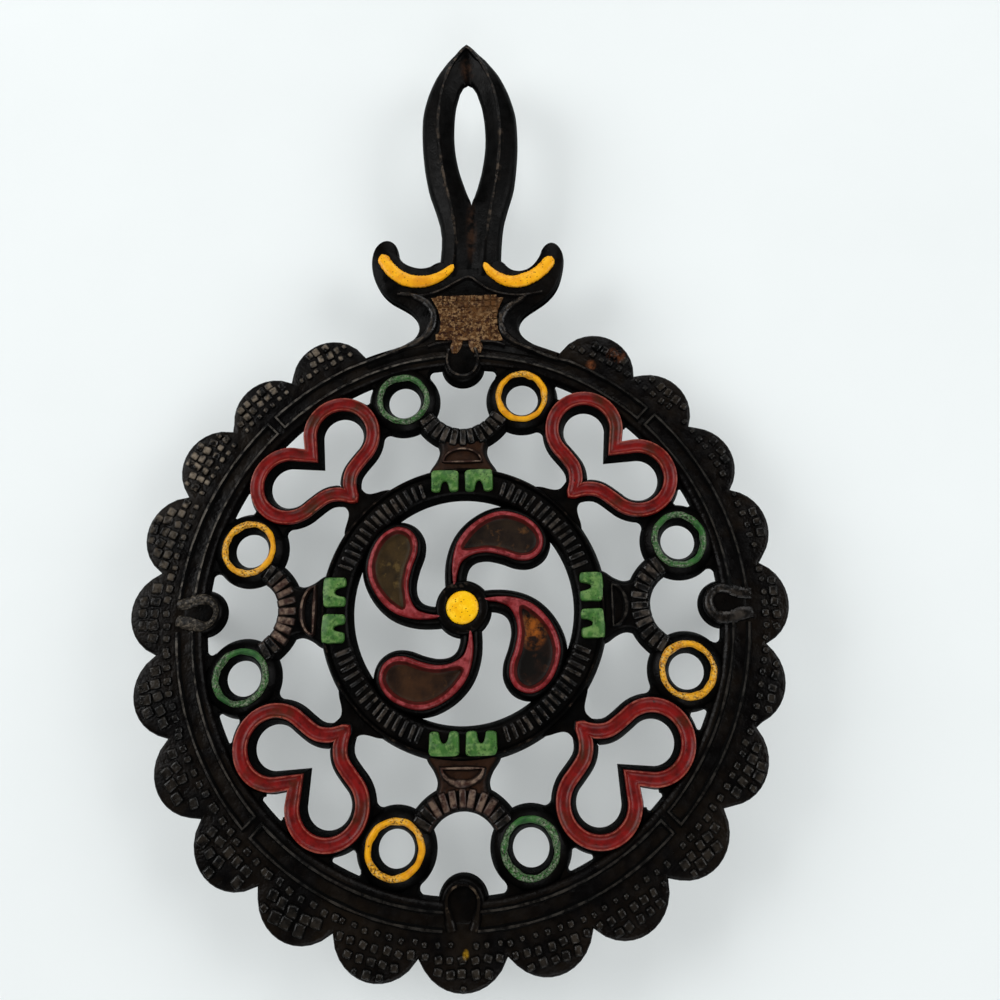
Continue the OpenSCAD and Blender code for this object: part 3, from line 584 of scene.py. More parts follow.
def bead_lines():
    """Two thin lines in each half quarter, closed at the diagonal's gap. At the rear the outer
    one comes down from the neck, where it is wide."""
    bm = bmesh.new()
    # the lines end beside the lug and beside the diagonal, by half a gap's width each time
    lug_a, end_a = degrees(asin(3.4 / 60)), 45 - degrees(1.15 / 60.7)
    thin, long = 0.95, 60
    for name, axis in AXES.items():
        for s in (-1, 1):
            def along(r, a0, a1, n=22):
                return [RIM_CENTRE + polar(r, axis + s * (a0 + (a1 - a0) * i / n))
                        for i in range(n + 1)]
            inner = along(BEAD_IN_R, end_a, lug_a)
            if name == "rear":
                neck = NECK_LINES[s]
                line = even(smooth(neck + along(BEAD_OUT_R, 24, end_a, 12), 4), long)
                widths = [0.9, 1.4] + [1.8] * (len(neck) - 5) + [1.5, 1.3, 1.1] + [thin] * 13
                k = (len(widths) - 1) / (long - 1)
                widths = [widths[round(i * k)] for i in range(long)]
            else:
                line = along(BEAD_OUT_R, lug_a, end_a)
                widths = [thin] * len(line)
            widths = [w * up_from(0.8, 0.4) for w in widths + [thin] * len(inner)]
            raised_line(bm, line + inner, widths, FACE - 0.3,
                        [up_from(TOP - 0.3, 0.16) for _ in widths])
    relief(bm, "rim_bead_lines", [CAST_RIDGE, CAST_WORN],
           pick=lambda f: middle(f).y > 59.5)


def waffle():
    """Pads in rows across each scallop, smaller near the plain rim. A pad that would stand out
    past the edge is made smaller, and then left out."""
    bm = bmesh.new()
    pitches = [2.15] * 3 + [2.4] + [2.7] * 5 + [2.5] * 4 + [2.4] * 8
    for n, (s, pitch) in enumerate(zip(SCALLOPS, pitches)):
        wide = 2.2 if 8 < n < 13 else pitch * 1.05
        for i, scale in enumerate((0.7, 0.95, 1.0, 1.0, 0.95)):
            r = PADS_IN_R + i * pitch * 0.98
            for k in range(-4, 5):
                centre = polar(r + jitter(0.45), s + degrees(k * pitch / r) + jitter(0.4))
                drop = rng.random()
                shares = up_from(0.84, 0.26), up_from(0.84, 0.24)
                angle, lift = s + jitter(30), rng.random()
                if abs(k * pitch) > r * radians(SCALLOP_PITCH / 2) - 0.3 or drop < 0.04:
                    continue
                for shrink in (1.0, 0.86, 0.72):
                    size = [wide * scale * share * shrink for share in shares]
                    corners = [centre + v for v in turned(
                        [(x * size[0], y * size[1]) for x in (-0.44, 0.44)
                         for y in (-0.44, 0.44)], angle)]
                    if all(v.length < rim_edge(degrees(atan2(v.y, v.x)), -0.25).length
                           for v in corners):
                        pad(bm, centre, size, FACE - 0.4, FACE + 0.32 + lift * 0.35, angle, 0.76)
                        break
    relief(bm, "scallop_waffle_pads", CAST_PADS, bevel=0.42)


# ---- hearts

# A heart's round lobe, its cleft and its point, for a heart that points to the left
LOBE, LOBE_R, CLEFT_X, POINT_X = Vector((48, 8.25)), 7.3, 49, 36
LOBE_A = degrees(atan2(LOBE.y, LOBE.x))
HALF_HEART = ([Vector((CLEFT_X, 0))] + [LOBE + polar(LOBE_R, -45 + 225 * i / 40) for i in range(41)]
              + smooth([(40.7, 8.25), (40.04, 4.13), (38.35, 1.65), (POINT_X, 0)], 8)[1:])


def heart_loop(out):
    """The heart's line moved outwards, trimmed where it crosses its own middle. The outermost
    lines stay nearer at the cleft."""
    pull = 0.75 if out > 1.7 else 0.0
    moved = [p + s * (out - pull * max(0.0, 1 - i / 13))
             for i, (p, s) in enumerate(zip(HALF_HEART, sides(HALF_HEART)))]
    cleft, point, tip = (1.68, 1.35, (136, 155)) if out > 0 else (1.3, 1.5, ())
    first = Vector((CLEFT_X + (out - pull) * cleft, 0))
    last = Vector((POINT_X - out * point, 0))
    moved = moved[1:-1] + [Vector((POINT_X, 0)) + polar(out * 1.12, a) for a in tip]
    moved = [p for p in moved if p[1] > 0.05 and p[0] > last[0] + 0.05]
    half = even([first] + moved + [last], 56)
    return half + mirrored(half[1:-1])


def hearts():
    body = [(2.65, UNDER), (2.6, 15.6), (2.35, 16.9), (2.05, 17.8), (1.8, 18.15), (1.45, 18.2),
            (1.2, 17.8), (-1.2, 17.8), (-1.45, 18.2), (-1.75, 18.15), (-1.95, 17.8), (-2.3, 16.9),
            (-2.55, 15.6), (-2.6, UNDER)]
    coat = [(1.66, 18.0), (1.62, 18.6), (1.52, 18.9), (1.38, 18.95), (1.2, 18.8), (0.95, 18.5),
            (0.4, 18.3), (-0.3, 18.3), (-0.75, 18.5), (-1.0, 18.8), (-1.15, 18.95),
            (-1.3, 18.9), (-1.42, 18.6), (-1.46, 18.0)]
    web = smooth([(37.5, 2.4), (35.5, 2.1), (34.0, 2.1), (32.8, 2.8), (31.9, 4.0), (31.0, 5.6),
                  (30.2, 6.6)], 3)[::-1]
    for name, a in DIAGONALS.items():
        # the rear hearts' outer walls are slimmer
        slim = 0.35 if "rear" in name else 0.0
        for coated, levels in enumerate(([(d - slim * (d > 1.6), z) for d, z in body], coat)):
            bm = bmesh.new()
            loft(bm, [turned([(*p, z) for p in heart_loop(d)], a) for d, z in levels], wrap=True)
            if coated:
                piece("heart_paint_%s_cast" % name, bm, [RED, RUBBED_RED],
                      ["heart_paint_" + name], "red_paint", sharp=45,
                      pick=lambda f: middle(f).z > 18.82)
            else:
                plate(bm, mirrored(web) + web, [(0.3, UNDER), (0.2, 15.6), (-0.1, 16.8),
                                                (-0.35, 17.5), (-0.7, 17.75)], a)
                member(bm, "heart_" + name, sharp=45)


# ---- eyelets, arches, lugs

# Circles on which things sit round the wheel's centre, an eyelet's angle from its axis, and
# the radius halfway across its painted lip
EYELETS_R, ARCHES_R, FEET_R, EYELET_A, EYELET_MID_R = 50, 48.5, 61.5, 16.1, 5.4


def eyelets():
    """Eight eyelets, each with a painted ring whose edges the brush has left uneven."""
    names = ("right_upper", "rear_right", "rear_left", "left_upper",
             "left_lower", "front_left", "front_right", "right_lower")
    green, yellow = bmesh.new(), bmesh.new()
    for i, name in enumerate(names):
        c = polar(EYELETS_R, 90 * ((i + 1) // 2) + (-EYELET_A if i % 2 else EYELET_A))
        bm = bmesh.new()
        lathe(bm, [(3.75, UNDER), (3.85, 15.8), (4.4, 17.6), (4.7, 18.3), (4.95, 18.5),
                   (5.9, 18.5), (6.2, 18.42), (6.5, 18.2), (7.3, 17.75), (8.0, 16.7),
                   (8.35, 15.4), (8.45, UNDER), (3.75, UNDER)], c, 72)
        member(bm, "eyelet_" + name)
        rings = yellow if i % 2 else green
        before = set(rings.verts)
        lathe(rings, [(4.62, 18.1), (4.78, 18.7), (5.05, 19.0), (5.5, 19.07), (5.9, 18.98),
                      (6.18, 18.65), (6.22, 18.3), (4.62, 18.1)], c, 72)
        phase = [rng.random() * 6.28 for _ in range(6)]
        for v in set(rings.verts) - before:
            off = v.co.xy / MM - c
            turn, r = atan2(off.y, off.x), off.length
            outer = r > EYELET_MID_R
            first, second, third = phase[3:] if outer else phase[:3]
            wave = (0.1 * sin(2 * turn + first) + 0.05 * sin(5 * turn + second)
                    + 0.04 * sin(11 * turn + third) - 0.08)
            r += wave * min(abs(r - EYELET_MID_R) / 0.5, 1) * (1 if outer else -1)
            v.co.xy = (c + off.normalized() * r) * MM
    piece("green_rings", green, GREEN_RING, ["green_ring_paint"], "worn_green_paint")
    piece("yellow_rings", yellow, YELLOW_RING, ["yellow_ring_paint"], "yellow_paint")


def corner_webs():
    """The small openings have rounded corners: a web fills the sharp corner between two
    circles. The rim's circle has a negative radius, because its opening lies inside it."""
    bm = bmesh.new()
    rim_circle = (RIM_CENTRE, -56.6)

    def meet(a, ra, b, rb, near):
        d = (b - a).length
        along = (ra * ra - rb * rb + d * d) / (2 * d)
        off = sqrt(max(ra * ra - along * along, 0.0))
        way = (b - a) / d
        ends = [a + way * along + Vector((-way.y, way.x)) * off * s for s in (-1, 1)]
        return min(ends, key=lambda p: (p - near).length)

    def web(one, two, soft, near):
        mid = meet(one[0], abs(one[1] + soft), two[0], abs(two[1] + soft), near)
        tip = meet(one[0], abs(one[1]), two[0], abs(two[1]), mid)
        ways = [((c - mid) if r > 0 else (mid - c)).normalized() for c, r in (one, two)]
        a0, turn = degrees(atan2(ways[0].y, ways[0].x)), degrees(ways[1].angle_signed(ways[0]))
        arc = [mid + polar(soft, a0 + turn * i / 8) for i in range(9)]
        line = ([mid + ways[0] * (soft + 1.3)] + arc + [mid + ways[1] * (soft + 1.3)]
                + [tip + (tip - mid).normalized() * 2.2])
        if sum(p.x * q.y - q.x * p.y for p, q in zip(line, line[1:] + line[:1])) < 0:
            line.reverse()
        plate(bm, line, [(0.0, UNDER), (-0.05, 15.8), (-0.2, 16.6), (-0.45, 17.0)])

    for name, d in DIAGONALS.items():
        soft, lobe_r = (0.35, 9.58) if "rear" in name else (0.55, 9.93)
        for s in (-1, 1):
            eyelet = (polar(EYELETS_R, d + s * (45 - EYELET_A)), 8.43)
            lobe = (polar(LOBE.length, d + s * LOBE_A), lobe_r)
            outer = polar(54.5, d + s * 19.5)
            web(eyelet, rim_circle, soft, outer)
            web(lobe, rim_circle, soft, outer)
            web(eyelet, lobe, soft, outer)
            web(eyelet, lobe, 1.4, polar(42, d + s * 20))
            web(lobe, rim_circle, soft, polar(53, d))
            web(eyelet, rim_circle, 1.2, polar(55, d + s * 37))
    piece("opening_corner_webs", bm, CAST_BLACK, slot="iron", sharp=50)


def arches():
    """An arch round each lug from eyelet to eyelet, with eleven short ribs."""
    ribs, ribs_r, step = bmesh.new(), 9.95, 11.4
    for name, a in AXES.items():
        c = polar(ARCHES_R, a)
        bm = bmesh.new()
        lathe(bm, [(7.35, UNDER), (7.5, 16.0), (7.85, 17.3), (8.3, 18.0), (8.9, 18.2),
                   (11.4, 18.2), (12.0, 17.9), (12.5, 17.0), (12.8, 15.8), (12.9, UNDER),
                   (7.35, UNDER)], c, 40, 136, a + 112)
        member(bm, "arch_" + name)
        for i in range(-5, 6):
            b = a + 180 + step * i + jitter(2)
            pad(ribs, c + polar(ribs_r + jitter(0.25), b), (up_from(4.3, 0.6), up_from(1.8, 0.3)),
                FACE - 0.5, up_from(TOP - 0.15, -0.25), b + jitter(6), 0.72)

    def rosy(face):
        """The middle ribs of the left and the front arch."""
        at = middle(face).xy
        return min(at) < -36 and min(map(abs, at)) < 6.8

    relief(ribs, "arch_ribs", [CAST_RIBS, CAST_ROSY], bevel=0.3, pick=rosy)


def keystones():
    """A waisted block between wheel and arch, with a half-moon drawn on it."""
    side = smooth([(29.5, 7.8), (31.3, 7.1), (33.2, 5.8), (35.4, 5.0), (37.4, 5.4), (39.2, 6.6)],
                  4)
    # how wide each half-moon's line is on its curve and on its flat side
    widths_of = {"right": (1.2, 0.8), "rear": (0.75, 0.8), "left": (1.15, 1.2),
                 "front": (1.6, 1.0)}
    # the moon's place, and in how many steps its curve and its flat side are drawn
    moon_x, curve, flat = 32.6, 23, 16
    for name, a in AXES.items():
        bm = bmesh.new()
        plate(bm, side + mirrored(side), [(-0.55, UNDER), (-0.4, 16.0), (0.0, 17.4),
                                          (0.45, 18.0), (0.9, 18.15)], a)
        member(bm, "keystone_" + name, CAST_KEY if name in ("rear", "front") else CAST_BLACK)
        deep, long = (2.9, 5.2) if name == "left" else (3.17, 4.4)
        moon = [polar(1, t) for t in range(-88, 89, 8)]
        moon = [Vector((moon_x + p.x * deep, p.y * long)) for p in moon]
        widths = []
        for i in range(curve + flat):
            share = i / curve if i < curve else (i - curve) / flat
            widths.append(widths_of[name][i >= curve] * up_from(0.85, 0.3)
                          * (0.5 + 0.5 * abs(sin(pi * share))))
        bm = bmesh.new()
        raised_line(bm, turned(even(moon + moon[:1], curve + flat + 1)[:-1], a), widths, FACE - 0.2,
                    TOP - 0.12, wrap=True)
        relief(bm, "keystone_%s_half_moon" % name,
               CAST_RIDGE if name == "right" else CAST_ROSY)


# Each lug's horseshoe: along and across from the lug's centre, and how wide it is there
LUG_LINES = {
    "right": [(6.2, 1.9, 2.3), (3.6, 2.2, 2.4), (1.6, 2.9, 2.2), (-0.3, 3.2, 1.9), (-2.2, 2.4, 1.9),
              (-3.1, 0.4, 2.0), (-2.5, -1.8, 2.2), (-0.6, -3.0, 2.4), (1.6, -3.0, 2.6),
              (3.6, -2.3, 2.6), (6.2, -2.0, 2.3)],
    "rear": [(3.6, 3.1, 0.9), (1.6, 3.6, 0.9), (-0.4, 3.35, 0.95), (-2.2, 2.3, 1.0),
             (-3.1, 0.1, 1.0), (-2.5, -2.2, 1.0), (-0.8, -3.4, 0.95), (1.6, -3.7, 0.9),
             (3.8, -3.0, 0.9)],
    "left": [(5.4, 1.7, 2.0), (3.0, 2.2, 2.6), (1.0, 2.7, 2.3), (-0.9, 2.8, 1.5), (-2.5, 1.8, 1.0),
             (-3.1, 0.1, 0.95), (-2.6, -1.7, 1.2), (-0.9, -2.8, 1.8), (1.2, -2.8, 2.2),
             (3.2, -2.0, 2.4), (5.4, -1.8, 2.0)],
    "front": [(5.2, 2.2, 1.9), (3.0, 2.8, 1.6), (1.0, 3.2, 1.2), (-1.0, 3.1, 1.0),
              (-2.6, 1.9, 0.95), (-3.2, 0.0, 0.95), (-2.6, -1.9, 0.95), (-1.0, -3.1, 1.0),
              (1.0, -3.2, 1.3), (3.0, -2.7, 1.7), (5.2, -2.2, 1.9)],
}
LUG_FINISH = {"right": CAST_RIBS, "rear": CAST_WORN, "left": CAST_LUG, "front": CAST_RIM}


def lugs():
    """A round pad on the rim's inner edge, with a raised horseshoe that is open outwards, and
    a foot under it."""
    for name, a in AXES.items():
        # how far the pad's middle lies from the wheel's centre
        u = 57.7 if name in ("left", "front") else 56.6
        outer = [Vector((62.6, 4.4)), Vector((60.5, 4.8))]
        line = outer + [Vector((u, 0)) + polar(5.0, b) for b in range(90, 271, 6)]
        bm = bmesh.new()
        plate(bm, line + mirrored(outer), [(0.15, UNDER), (0.1, 15.8), (-0.2, 17.0),
                                           (-0.7, 17.8), (-1.2, 18.12), (-1.8, 18.18)], a)
        member(bm, "lug_" + name)
        bm = bmesh.new()
        path = smooth(LUG_LINES[name], 4)
        raised_line(bm, turned([(p.x + u, p.y) for p in path], a),
                    [p.z * up_from(0.9, 0.2) for p in path], FACE - 0.25,
                    [up_from(TOP - 0.18, 0.16) for _ in path])
        relief(bm, "lug_%s_horseshoe" % name, LUG_FINISH[name])
        bm = bmesh.new()
        lathe(bm, [(0, 0), (2.8, 0), (3.1, 0.15), (3.25, 0.6), (3.8, 8), (4.2, 15)],
              polar(FEET_R, a), 48)
        close_holes(bm)
        member(bm, "foot_" + name)


# ---- wheel

def wheel():
    bm = bmesh.new()
    lathe(bm, [(24.35, UNDER), (24.55, 15.8), (25.0, 17.2), (25.5, 17.95), (26.1, 18.18),
               (29.9, 18.18), (30.15, 18.1), (30.35, 18.65), (30.55, 18.92), (30.95, 18.92),
               (31.2, 18.5), (31.5, 17.4), (31.8, 16.0), (31.85, UNDER), (24.35, UNDER)],
          steps=192)
    member(bm, "wheel_ring")
    ribs, blocks = bmesh.new(), bmesh.new()
    # the ribs' circle, how many stand in a quarter, where the first would begin and how far
    # they go, and how far a block's middle lies beside the axis
    ribs_r, count, first, angle, beside = 27.6, 15, 17.4, 55.2, 3.95
    for a in AXES.values():
        for i in range(count):
            b = a + first + angle * (i + 0.5) / count + jitter(0.7)
            pad(ribs, polar(ribs_r + jitter(0.4), b), (up_from(4.3, 0.9), up_from(1.15, 0.45)),
                FACE - 0.5, up_from(TOP - 0.2, -0.3), b + jitter(7), 0.66)
        for s in (-1, 1):
            # half of a block's outline: w is half its width, n half its notch's
            w, n = up_from(3.1, 0.2), up_from(0.85, 0.3)
            inner = [(28.1, n * 0.5), (27.1, n * 0.85), (26.3, n), (25.95, n + 0.35),
                     (25.9, w - 0.9), (26.1, w - 0.35), (26.5, w - 0.1)]
            outer = [(28.4, w - 0.05), (30.1, w), (30.6, w - 0.25), (30.85, w - 0.8)]
            inward = 0.45 if a == AXES["front"] else 0.1
            line = [Vector((x - inward + jitter(0.07), y + s * beside + jitter(0.07))) for x, y in (
                mirrored(inner) + [(28.35, 0)] + inner + outer + [(30.95, 0)] + mirrored(outer))]
            plate(blocks, smooth(line, 2, True),
                  [(-0.1, FACE - 0.3), (0.0, 18.6), (0.08, 18.88), (0.2, 18.98)], up_from(a, 0.4))
    relief(ribs, "wheel_ribs", CAST_RIBS, bevel=0.28)
    piece("green_m_blocks", blocks, GREEN, ["green_blocks"], "green_paint", sharp=50)
    bm = bmesh.new()
    lathe(bm, [(0, UNDER), (6.3, UNDER), (6.2, 16.0), (6.0, 17.4), (5.85, 18.5), (5.6, 18.95),
               (5.2, 19.08), (3.9, 19.08), (3.7, 18.9), (3.4, 18.25), (0, 18.25)])
    member(bm, "hub_boss")
    bm = bmesh.new()
    lathe(bm, [(0, 18.1), (3.75, 18.1), (3.72, 18.45), (3.5, 18.75), (3.0, 18.93), (2.0, 19.04),
               (1.0, 19.09), (0, 19.1)])
    piece("hub_button_domed", bm, YELLOW, ["hub_button"], "yellow_paint")


# The rear right petal and its dish, in shares of the wheel's bore
BORE_R, DISH_FLOOR = 24.9, 17.6
PETAL = [(-0.09, 0.16), (-0.096, 0.38), (-0.04, 0.575), (0.07, 0.715), (0.22, 0.81),
         (0.37, 0.843), (0.53, 0.803), (0.65, 0.723), (0.718, 0.6), (0.69, 0.48), (0.6, 0.415),
         (0.49, 0.413), (0.36, 0.458), (0.22, 0.487), (0.095, 0.47), (0.008, 0.405),
         (-0.035, 0.3), (-0.045, 0.16)]
DISH = [(0.01, 0.53), (0.11, 0.665), (0.24, 0.755), (0.38, 0.785), (0.52, 0.75), (0.62, 0.68),
        (0.667, 0.59), (0.645, 0.51), (0.58, 0.47), (0.49, 0.472), (0.36, 0.517), (0.22, 0.54),
        (0.1, 0.525)]
# The paint's line tapers towards the hub, where the iron keeps its width
COAT = ([(-0.078, 0.2), (-0.088, 0.38)] + PETAL[2:-3]
        + [(-0.008, 0.41), (-0.05, 0.3), (-0.062, 0.2)])


def petals():
    edge, coat, dish = (smooth([Vector(p) * BORE_R for p in line], steps, True)
                        for line, steps in ((PETAL, 5), (COAT, 5), (DISH, 6)))
    # the coat's rounding gets finer towards the hub
    ways = [w * min(1, max(0.25, 3.5 * (p.length / BORE_R - 0.15)))
            for p, w in zip(coat, sides(coat, True))]

    def top_edges(edges):
        return [e for e in edges if e.is_boundary and min(v.co.z for v in e.verts) > TOP * MM]

    turns = {"rear_right": 0, "front_right": 270, "front_left": 180, "rear_left": 90}
    for name, a in turns.items():
        bm = bmesh.new()
        plate(bm, edge, [(-1.7, UNDER), (-1.65, 15.7), (-1.35, 17.0), (-0.9, 17.9),
                         (-0.5, 18.25), (-0.05, 18.3), (0.2, 17.3)], a)
        member(bm, "petal_" + name)
        bm = bmesh.new()
        loft(bm, [turned([(*(p + w * d), z) for p, w in zip(coat, ways)], a) for d, z in (
            (-0.2, 17.35), (-0.15, 18.3), (0.0, 18.8), (0.25, 19.02), (0.4, 19.05))], cap=False)
        outer, before, lip = top_edges(bm.edges), set(bm.edges), set(bm.faces)
        plate(bm, dish, [(-0.58, 19.04), (-0.42, 18.85), (-0.15, 18.3), (0.1, 17.85),
                         (0.5, 17.64), (1.1, DISH_FLOOR)], a, cap=False)
        for face in set(bm.faces) - lip:
            # the dish's red wall goes down to its stained floor
            face.material_index = 1 if middle(face).z < DISH_FLOOR + 0.15 else 2
        new = [e for e in bm.edges if e not in before and e.is_boundary]
        inner = top_edges(new)
        bmesh.ops.triangle_fill(bm, use_beauty=True, edges=outer + inner, normal=(0, 0, 1))
        floor = bmesh.ops.holes_fill(bm, edges=[e for e in new if e not in inner], sides=0)
        for face in floor["faces"]:
            face.material_index = 1
        close_holes(bm)
        piece("petal_%s_rim_and_dish" % name, bm, [ROSE, PETAL_FLOOR[name], DISH_RED],
              ["petal_paint_" + name], "rose_paint")


# ---- handle

# The handle's middle line by y, then the loop's and the ridge's half widths and the hole's,
# in shares of their lengths and of their greatest widths
CENTRE = [(55, 1.3), (76, 1.3), (84, 1.9), (92, 2.3), (110, 2.0), (147.2, 1.15)]
LOOP = [(-0.2, 0.63), (0, 0.61), (0.085, 0.64), (0.17, 0.745), (0.255, 0.87), (0.38, 0.96),
        (0.51, 1.0), (0.635, 0.98), (0.745, 0.854), (0.838, 0.667), (0.914, 0.417), (0.975, 0.16),
        (0.99, 0.085), (1.0, 0.0)]
RIDGE = [(-0.2, 0.30), (0, 0.31), (0.09, 0.36), (0.21, 0.46), (0.34, 0.58), (0.51, 0.66),
         (0.635, 0.64), (0.76, 0.54), (0.87, 0.35), (0.945, 0.12), (0.97, 0.0)]
HOLE = [(0, 0), (0.1, 0.3), (0.27, 0.72), (0.46, 0.98), (0.63, 1.0), (0.8, 0.85), (0.93, 0.55),
        (0.98, 0.3), (1, 0)]
LOOP_HALF, RIDGE_HALF, HOLE_HALF = 12.3, 12, 4
NECK_END_Y, COLLAR_Y, STEM_END_Y, HOLE_Y, HOLE_LONG = 75.0, 88.2, 96.8, 99.2, 36.5
RIDGE_TIP_Y, TIP_Y = 145.4, 147.2


def handle_lines():
    """Half of the handle in plan: its outer edge, its ridge and the hole's edge. They run
    level up the bar, and then each goes its own way to the middle, round the tip."""
    ys = [78, 82, 85, 88, 91, 94, STEM_END_Y, 98.4, HOLE_Y, 99.9, 100.8, 102]
    ys += [102 + 2.05 * i for i in range(1, 12)]

    def half(table, width, y):
        if table is HOLE:
            h = (y - HOLE_Y) / HOLE_LONG
            return max(at_share(HOLE, h), 0) * width if 0 < h < 1 else 0.0
        return at_share(table, (y - COLLAR_Y) / (TIP_Y - COLLAR_Y)) * width

    lines = []
    for table, width, top in ((LOOP, LOOP_HALF, TIP_Y), (RIDGE, RIDGE_HALF, RIDGE_TIP_Y),
                              (HOLE, HOLE_HALF, HOLE_Y + HOLE_LONG)):
        low = [Vector((half(table, width, y), y)) for y in ys]
        high = [Vector((max(half(table, width, y), 0), y))
                for y in (ys[-1] + (top - ys[-1]) * i / 59 for i in range(59))]
        lines.append(low + even(high + [Vector((0, top))], 19)[1:])
    return lines


def handle_bar():
    """The stem and the loop: one rounded bar that goes up one side of the hanging hole,
    round the tip and down the other side. Its two ridges are a raised line."""
    half = []
    outer, ridge, hole = handle_lines()
    for o, r, h in zip(outer, ridge, hole):
        way = (h - o).normalized()
        k = min(1.0, (h - o).length / 6.0)
        s = min(h.x / 1.2, 1.0) if o.y < 120 else 1.0
        crest = TOP - 0.5 * min(max((r.y - 139) / 6, 0), 1)
        # the stem's lower end sinks into the collar
        sink = min(max((84 - o.y) / 5, 0), 1)
        half.append([(*p, z - max(0.0, z - 17.85) * sink) for p, z in (
            (o + way * 0.3 * k, UNDER), (o, 15.4), (o + way * 0.12 * k, 16.4),
            (o + way * 0.55 * k, 17.4), (o.lerp(r, 0.4), 18.05), (o.lerp(r, 0.74), crest - 0.5),
            (r - way * 0.5 * k, crest - 0.1), (r, crest), (r + way * 0.55 * k, crest - 0.14),
            (r.lerp(h, 0.4), 18.0 - 0.2 * s), (r.lerp(h, 0.8), 17.3 - 0.5 * s),
            (h, 17.0 - 0.9 * s), (h, UNDER))])
    bm = bmesh.new()
    loft(bm, half + [[(-x, y, z) for x, y, z in points] for points in reversed(half[:-1])])
    bmesh.ops.remove_doubles(bm, verts=bm.verts, dist=0.01 * MM)
    seam = [f for f in bm.faces if all(abs(v.co.x) < 0.02 * MM for v in f.verts)]
    bmesh.ops.delete(bm, geom=seam, context="FACES")
    for v in bm.verts:
        v.co.x += at_share(CENTRE, v.co.y / MM) * MM
    members_cut(bm, STEM_END_Y, CAST_HANDLE, 60, ("stem", True, "handle_stem_cast"),
                ("handle_loop", False, None))
    line = [Vector((2.9, 79.2)), Vector((3.2, 81.0))] + [p for p in ridge if p.y > 84]
    line = [Vector((-p.x, p.y)) for p in line[:-1]] + line[::-1]
    n = 110
    line = even([p + Vector((at_share(CENTRE, p.y), 0)) for p in line], n)
    widths = [up_from(1.15 + 0.35 * sin(i * 0.9) * sin(i * 0.37), 0.25) for i in range(n)]
    tops = [TOP + 0.04 - 1.3 * max(0.0, 1 - min(i, n - 1 - i) / 9) ** 1.5 for i in range(n)]
    bm = bmesh.new()
    raised_line(bm, line, widths, TOP - 1.5, tops)
    relief(bm, "handle_worn_ridges", CAST_GRIP)


CURL = [(-15.8, 74.9), (-11.4, 74.3), (-7.8, 74.7), (-4.5, 75.9), (-1.7, 77.5), (1.6, 78.9),
        (4.4, 76.9), (6.8, 75.3), (10.0, 74.2), (14.0, 73.7), (19.4, 74.4)]
# The neck's grooves, which run on into the rim's bead lines, on the left (1) and the right
NECK_LINES = {
    1: [(-15.1, 75.0), (-12.6, 74.7), (-9.4, 73.1), (-7.4, 70.9), (-6.9, 68.5), (-7.5, 66.1),
        (-8.8, 64.0), (-10.9, 62.4), (-14.6, 60.8), (-19.5, 58.8)],
    -1: [(15.6, 73.6), (12.8, 71.9), (10.8, 70.5), (9.6, 68.8), (9.3, 66.6), (10.1, 64.1),
         (12.3, 61.9), (16.1, 59.8), (21.2, 57.4)],
}
CRESCENTS = {
    "left": [(-19.9, 85.5), (-18.9, 83.4), (-17.4, 81.4), (-15.5, 79.7), (-13.2, 78.5),
             (-10.5, 78.1), (-7.9, 78.4), (-5.4, 79.4), (-3.2, 81.0), (-2.1, 82.2)],
    "right": [(5.4, 82.5), (6.6, 80.6), (8.4, 79.0), (10.5, 77.8), (13.0, 77.4), (15.6, 78.0),
              (18.0, 79.2), (20.0, 80.9), (21.3, 82.6), (21.9, 83.6)],
}
# The outline of collar and neck: up the right side, down the left, back along the rim
SILHOUETTE_RIGHT = [
    (27.5, 56.5), (24.6, 58.4), (21.0, 59.9), (17.3, 61.4), (15.0, 63.0), (13.9, 64.6),
    (13.6, 66.2), (14.2, 67.9), (15.6, 69.4), (17.8, 70.9), (20.2, 72.6), (22.2, 74.7),
    (23.5, 77.0), (24.3, 79.5), (24.8, 82.0), (24.9, 84.0), (24.5, 85.9), (23.4, 87.5),
    (22.0, 88.1), (20.6, 87.6), (19.5, 86.3), (18.9, 84.7), (17.7, 82.8), (16.2, 81.4),
    (14.5, 80.8), (12.8, 80.9), (11.4, 81.7), (10.2, 83.0), (8.6, 83.8), (6.4, 83.0),
    (4.0, 81.7)]
SILHOUETTE_LEFT = [
    (-0.8, 81.7), (-3.2, 83.0), (-5.2, 83.7), (-6.8, 83.3), (-8.2, 82.5), (-10.2, 82.2),
    (-12.4, 82.7), (-14.4, 83.8), (-15.6, 85.4), (-16.0, 87.2), (-16.7, 88.9), (-18.2, 89.9),
    (-20.0, 89.7), (-21.5, 88.4), (-22.3, 86.6), (-22.6, 84.4), (-22.4, 82.0), (-21.7, 79.6),
    (-20.6, 77.2), (-19.1, 75.1), (-17.2, 73.4), (-14.9, 72.0), (-12.7, 70.5), (-11.2, 68.7),
    (-10.6, 66.7), (-10.9, 64.9), (-12.1, 63.3), (-14.2, 62.0), (-17.8, 60.8), (-21.6, 59.6),
    (-25.5, 57.6)]
ROOT_ARC = [(-22.3, 55.2), (-15, 57.6), (-7, 59.1), (1, 59.5), (9, 58.8), (17, 57.0), (24.2, 54.4)]
PANEL = [(-6.9, 73.2), (-2.1, 73.6), (2.8, 73.6), (9.4, 72.8), (8.3, 70.2), (7.7, 67.2),
         (8.2, 64.8), (9.2, 62.5), (3.5, 62.7), (-2.1, 62.9), (-5.8, 63.1), (-5.0, 65.0),
         (-4.8, 67.5), (-5.5, 70.6)]


